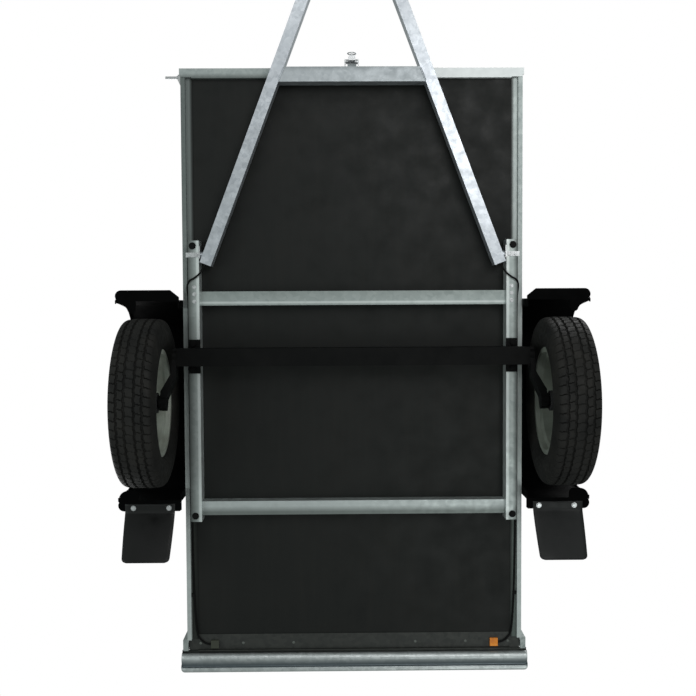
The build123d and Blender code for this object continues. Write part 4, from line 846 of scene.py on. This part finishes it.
# Painted shadow along the crossbar's front edge.
shade = blend_colour(tree, band(tree, y, 0.5550, 0.5800, 0.0, 0.7), clean, (0.15, 0.17, 0.17))
tree.links.new(shade, shader.inputs["Base Color"])
wear("drawbar_crossbar", crossbar_zinc)
coupling_zinc = ground_steel_finish("coupling_zinc", (0.5, 0.51, 0.52), 0.4)
for node in ("coupling_head", "coupling_bolts"):
    wear(node, coupling_zinc)
wear("coupling_jaw", bearing_steel)
wear("coupling_handle", housing_black)

# ------------------------------------------------------------------ tilt latch
# Plated hook on a small bracket at the front sill, with a loose wire pull ring.
for node in ("tilt_latch_bracket", "tilt_latch_hook", "tilt_latch_ring"):
    wear(node, bolt_zinc)

# ------------------------------------------------------------------ weld beads
# Short fillet welds join the crossbar to the beams, laid before the zinc bath.


def weld_bead(name, start, end, radius):
    """Half-buried tube whose radius rises and falls once per ripple of the weld."""
    start, end = np.array(start, float), np.array(end, float)
    length = np.linalg.norm(end - start)
    share = np.linspace(0.0, 1.0, int(length / 0.0007) + 2)
    ahead = (end - start) / length
    side = np.cross(ahead, [0.0, 0.0, 1.0])
    turn = 2 * np.pi * np.arange(12) / 12
    swell = radius * (1.0 + 0.13 * np.sin(2 * np.pi * share * length / 0.0042))
    swell = swell * np.sqrt(np.clip(np.minimum(share, 1.0 - share) * length / radius, 0.02, 1.0))
    round_part = np.cos(turn)[:, None] * side + np.sin(turn)[:, None] * np.array([0.0, 0.0, 0.75])
    grid = (start + share[:, None] * (end - start))[:, None, :] + swell[:, None, None] * round_part[None]
    return surface(name, grid, False, True, flip=True)


cross_low, cross_high = [np.array(corner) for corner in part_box("drawbar_crossbar")]
beam_lean = math.tan(math.radians(21.2))
tube_length = 0.050
for side, word in ((1, "right"), (-1, "left")):
    back = (side * cross_high[0], cross_low[1] + 0.002, cross_low[2] + 0.0008)
    front = (side * (cross_high[0] - tube_length * beam_lean), cross_low[1] + tube_length - 0.002, back[2])
    bead = weld_bead("crossbar_weld_" + word, back, front, 0.0034)
    bead.data.materials.append(drawbar_zinc)
    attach(bead, "drawbar")

# ------------------------------------------------------------------ wiring
# One thin black two-core lead along each side, from the beam's open end to the lamp.
cable_black = black_paint_finish("cable_black", (0.004, 0.004, 0.004), 0.5, 0.1, 500.0)
lead_route = [
    (0.483811, -0.041782, 0.3725),
    (0.508257, -0.106306, 0.3715),
    (0.534, -0.137214, 0.36625),
    (0.5695, -0.153214, 0.36625),
    (0.5695, -0.223214, 0.43525),
    (0.5695, -1.371717, 0.43525),
    (0.534, -1.431717, 0.43525),
    (0.5083, -1.431717, 0.43525),
]
lead_radius = 0.00325


def lead_line(side):
    """Points along the smooth NURBS line that has the route as its control points."""
    line = bpy.data.curves.new("lead_line", "CURVE")
    line.dimensions = "3D"
    spline = line.splines.new("NURBS")
    spline.points.add(len(lead_route) - 1)
    spline.points.foreach_set("co", [n for x, y, z in lead_route for n in (side * x, y, z, 1.0)])
    spline.order_u = 3
    spline.use_endpoint_u = True
    line.resolution_u = 24
    holder = bpy.data.objects.new("lead_line", line)
    traced = bpy.data.meshes.new_from_object(holder)
    points = np.empty(3 * len(traced.vertices))
    traced.vertices.foreach_get("co", points)
    bpy.data.objects.remove(holder)
    bpy.data.meshes.remove(traced)
    return points.reshape(-1, 3)


def swept_tube(name, line, radius):
    """Rings square to the line; each ring's first arm is up, less its share along the line."""
    ahead = np.gradient(line, axis=0)
    ahead /= np.linalg.norm(ahead, axis=1)[:, None]
    up = np.array([0.0, 0.0, 1.0]) - ahead * ahead[:, 2:]
    up /= np.linalg.norm(up, axis=1)[:, None]
    side = np.cross(ahead, up)
    turn = 2 * np.pi * np.arange(14) / 14
    arms = np.cos(turn)[None, :, None] * up[:, None, :] + np.sin(turn)[None, :, None] * side[:, None, :]
    size = np.full(len(line), radius)
    size[0] = size[-1] = 1e-5
    grid = line[:, None, :] + size[:, None, None] * arms
    return surface(name, grid, False, True, flip=True)


for side, word in ((1, "right"), (-1, "left")):
    lead = swept_tube("lead_" + word, lead_line(side), lead_radius)
    lead.data.materials.append(cable_black)
    if word == "right":
        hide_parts("wiring_loom")
    bend_start = Vector(lead_route[2]) * 1.0
    bend_end = Vector(lead_route[1]) * 1.0
    bend_start.x *= side
    bend_end.x *= side
    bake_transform(lead)
wear("cable_clips", housing_black)

# ------------------------------------------------------------------ studio
# Pale floor, soft lamps and a camera below the trailer looking up at its underside.
wheel_y = wheel_middle[1]
eye = Vector((0.0522, wheel_y + 0.3292, -2.9569))
tilt = Matrix.Rotation(math.radians(-2.636), 3, "X")
pan = Matrix.Rotation(math.radians(0.58), 3, "Y")
roll = Matrix.Rotation(math.radians(-0.326), 3, "Z")
look = roll @ pan @ tilt
camera_data = bpy.data.cameras.new("camera")
camera_data.lens = 50.25
camera_data.sensor_width = 36.0
camera_data.clip_start = 0.05
camera_data.clip_end = 60.0
camera = bpy.data.objects.new("camera", camera_data)
right, up, ahead = -Vector(look[0]), Vector(look[1]), Vector(look[2])
turned = Matrix((right, up, -ahead)).transposed().to_4x4()
camera.matrix_world = Matrix.Translation(eye) @ turned
bpy.context.scene.collection.objects.link(camera)
bpy.context.scene.camera = camera
bpy.context.scene.view_settings.view_transform = "Standard"
bpy.context.scene.view_settings.look = "None"

world = bpy.data.worlds.new("studio_air")
world.use_nodes = True
bpy.context.scene.world = world
air = world.node_tree
backdrop = air.nodes["Background"]
backdrop.inputs["Color"].default_value = (1.0, 1.0, 1.0, 1.0)
backdrop.inputs["Strength"].default_value = 1.0
dim = air.nodes.new("ShaderNodeBackground")
dim.inputs["Color"].default_value = (0.93, 1.0, 0.98, 1.0)
dim.inputs["Strength"].default_value = 0.36
which = air.nodes.new("ShaderNodeLightPath")
choose = air.nodes.new("ShaderNodeMixShader")
air.links.new(which.outputs["Is Camera Ray"], choose.inputs["Fac"])
air.links.new(dim.outputs["Background"], choose.inputs[1])
air.links.new(backdrop.outputs["Background"], choose.inputs[2])
air.links.new(choose.outputs["Shader"], air.nodes["World Output"].inputs["Surface"])


def soft_lamp(name, place, aim, width, height, power, colour=(1.0, 1.0, 1.0)):
    """Area lamp at a place, turned to shine at an aim point."""
    data = bpy.data.lights.new(name, "AREA")
    data.shape = "RECTANGLE"
    data.size, data.size_y = width, height
    data.energy = power
    data.color = colour
    lamp = bpy.data.objects.new(name, data)
    lamp.location = place
    facing = (Vector(aim) - Vector(place)).to_track_quat("-Z", "Y")
    lamp.rotation_mode = "QUATERNION"
    lamp.rotation_quaternion = facing
    lamp.visible_camera = False
    bpy.context.scene.collection.objects.link(lamp)


soft_lamp("lamp_under_front", (-1.0, wheel_y + 1.6, -2.7), (-0.4, wheel_y + 0.8, 0.4), 1.0, 1.4, 25.0)
soft_lamp("lamp_under_nose", (0.45, wheel_y + 2.8, -2.7), (0.2, wheel_y + 1.3, 0.4), 0.7, 0.7, 9.0)
soft_lamp(
    "lamp_under_side", (2.6, wheel_y + 0.2, -1.8), (0.0, wheel_y, 0.4),
    1.2, 2.4, 20.0, (0.9, 1.0, 0.98)
)
soft_lamp(
    "lamp_under_rear", (-1.0, wheel_y - 1.0, -2.4), (0.0, wheel_y - 0.5, 0.4),
    1.2, 1.2, 9.0, (0.95, 1.0, 0.98)
)
soft_lamp("lamp_above_front", (-2.2, 3.0, 3.2), (0.0, 0.0, 0.4), 2.5, 2.5, 110.0)
soft_lamp("lamp_above_rear", (2.4, -3.0, 2.8), (0.0, -0.3, 0.4), 2.5, 2.5, 80.0)

floor_reach = 9.0
floor_mesh = bpy.data.meshes.new("studio_floor")
floor_turns = ((-1, -1), (1, -1), (1, 1), (-1, 1))
floor_corners = [(across * floor_reach, along * floor_reach, 0) for across, along in floor_turns]
floor_mesh.from_pydata(floor_corners, [], [(0, 1, 2, 3)])
studio_floor = bpy.data.objects.new("studio_floor", floor_mesh)
studio_floor.visible_shadow = False
studio_floor.visible_diffuse = False
studio_floor.visible_glossy = False
bpy.context.scene.collection.objects.link(studio_floor)
floor_paint, tree, shader, spot = new_finish("floor_paint", 0.9)
shade = blend_colour(tree, noise(tree, spot, 1.5), (0.88, 0.88, 0.88), (0.93, 0.93, 0.93))
tree.links.new(shade, shader.inputs["Base Color"])
facing = tree.nodes.new("ShaderNodeNewGeometry")
clear = tree.nodes.new("ShaderNodeBsdfTransparent")
two_sided = tree.nodes.new("ShaderNodeMixShader")
tree.links.new(facing.outputs["Backfacing"], two_sided.inputs["Fac"])
tree.links.new(shader.outputs["BSDF"], two_sided.inputs[1])
tree.links.new(clear.outputs["BSDF"], two_sided.inputs[2])
tree.links.new(two_sided.outputs["Shader"], tree.nodes["Material Output"].inputs["Surface"])
floor_mesh.materials.append(floor_paint)
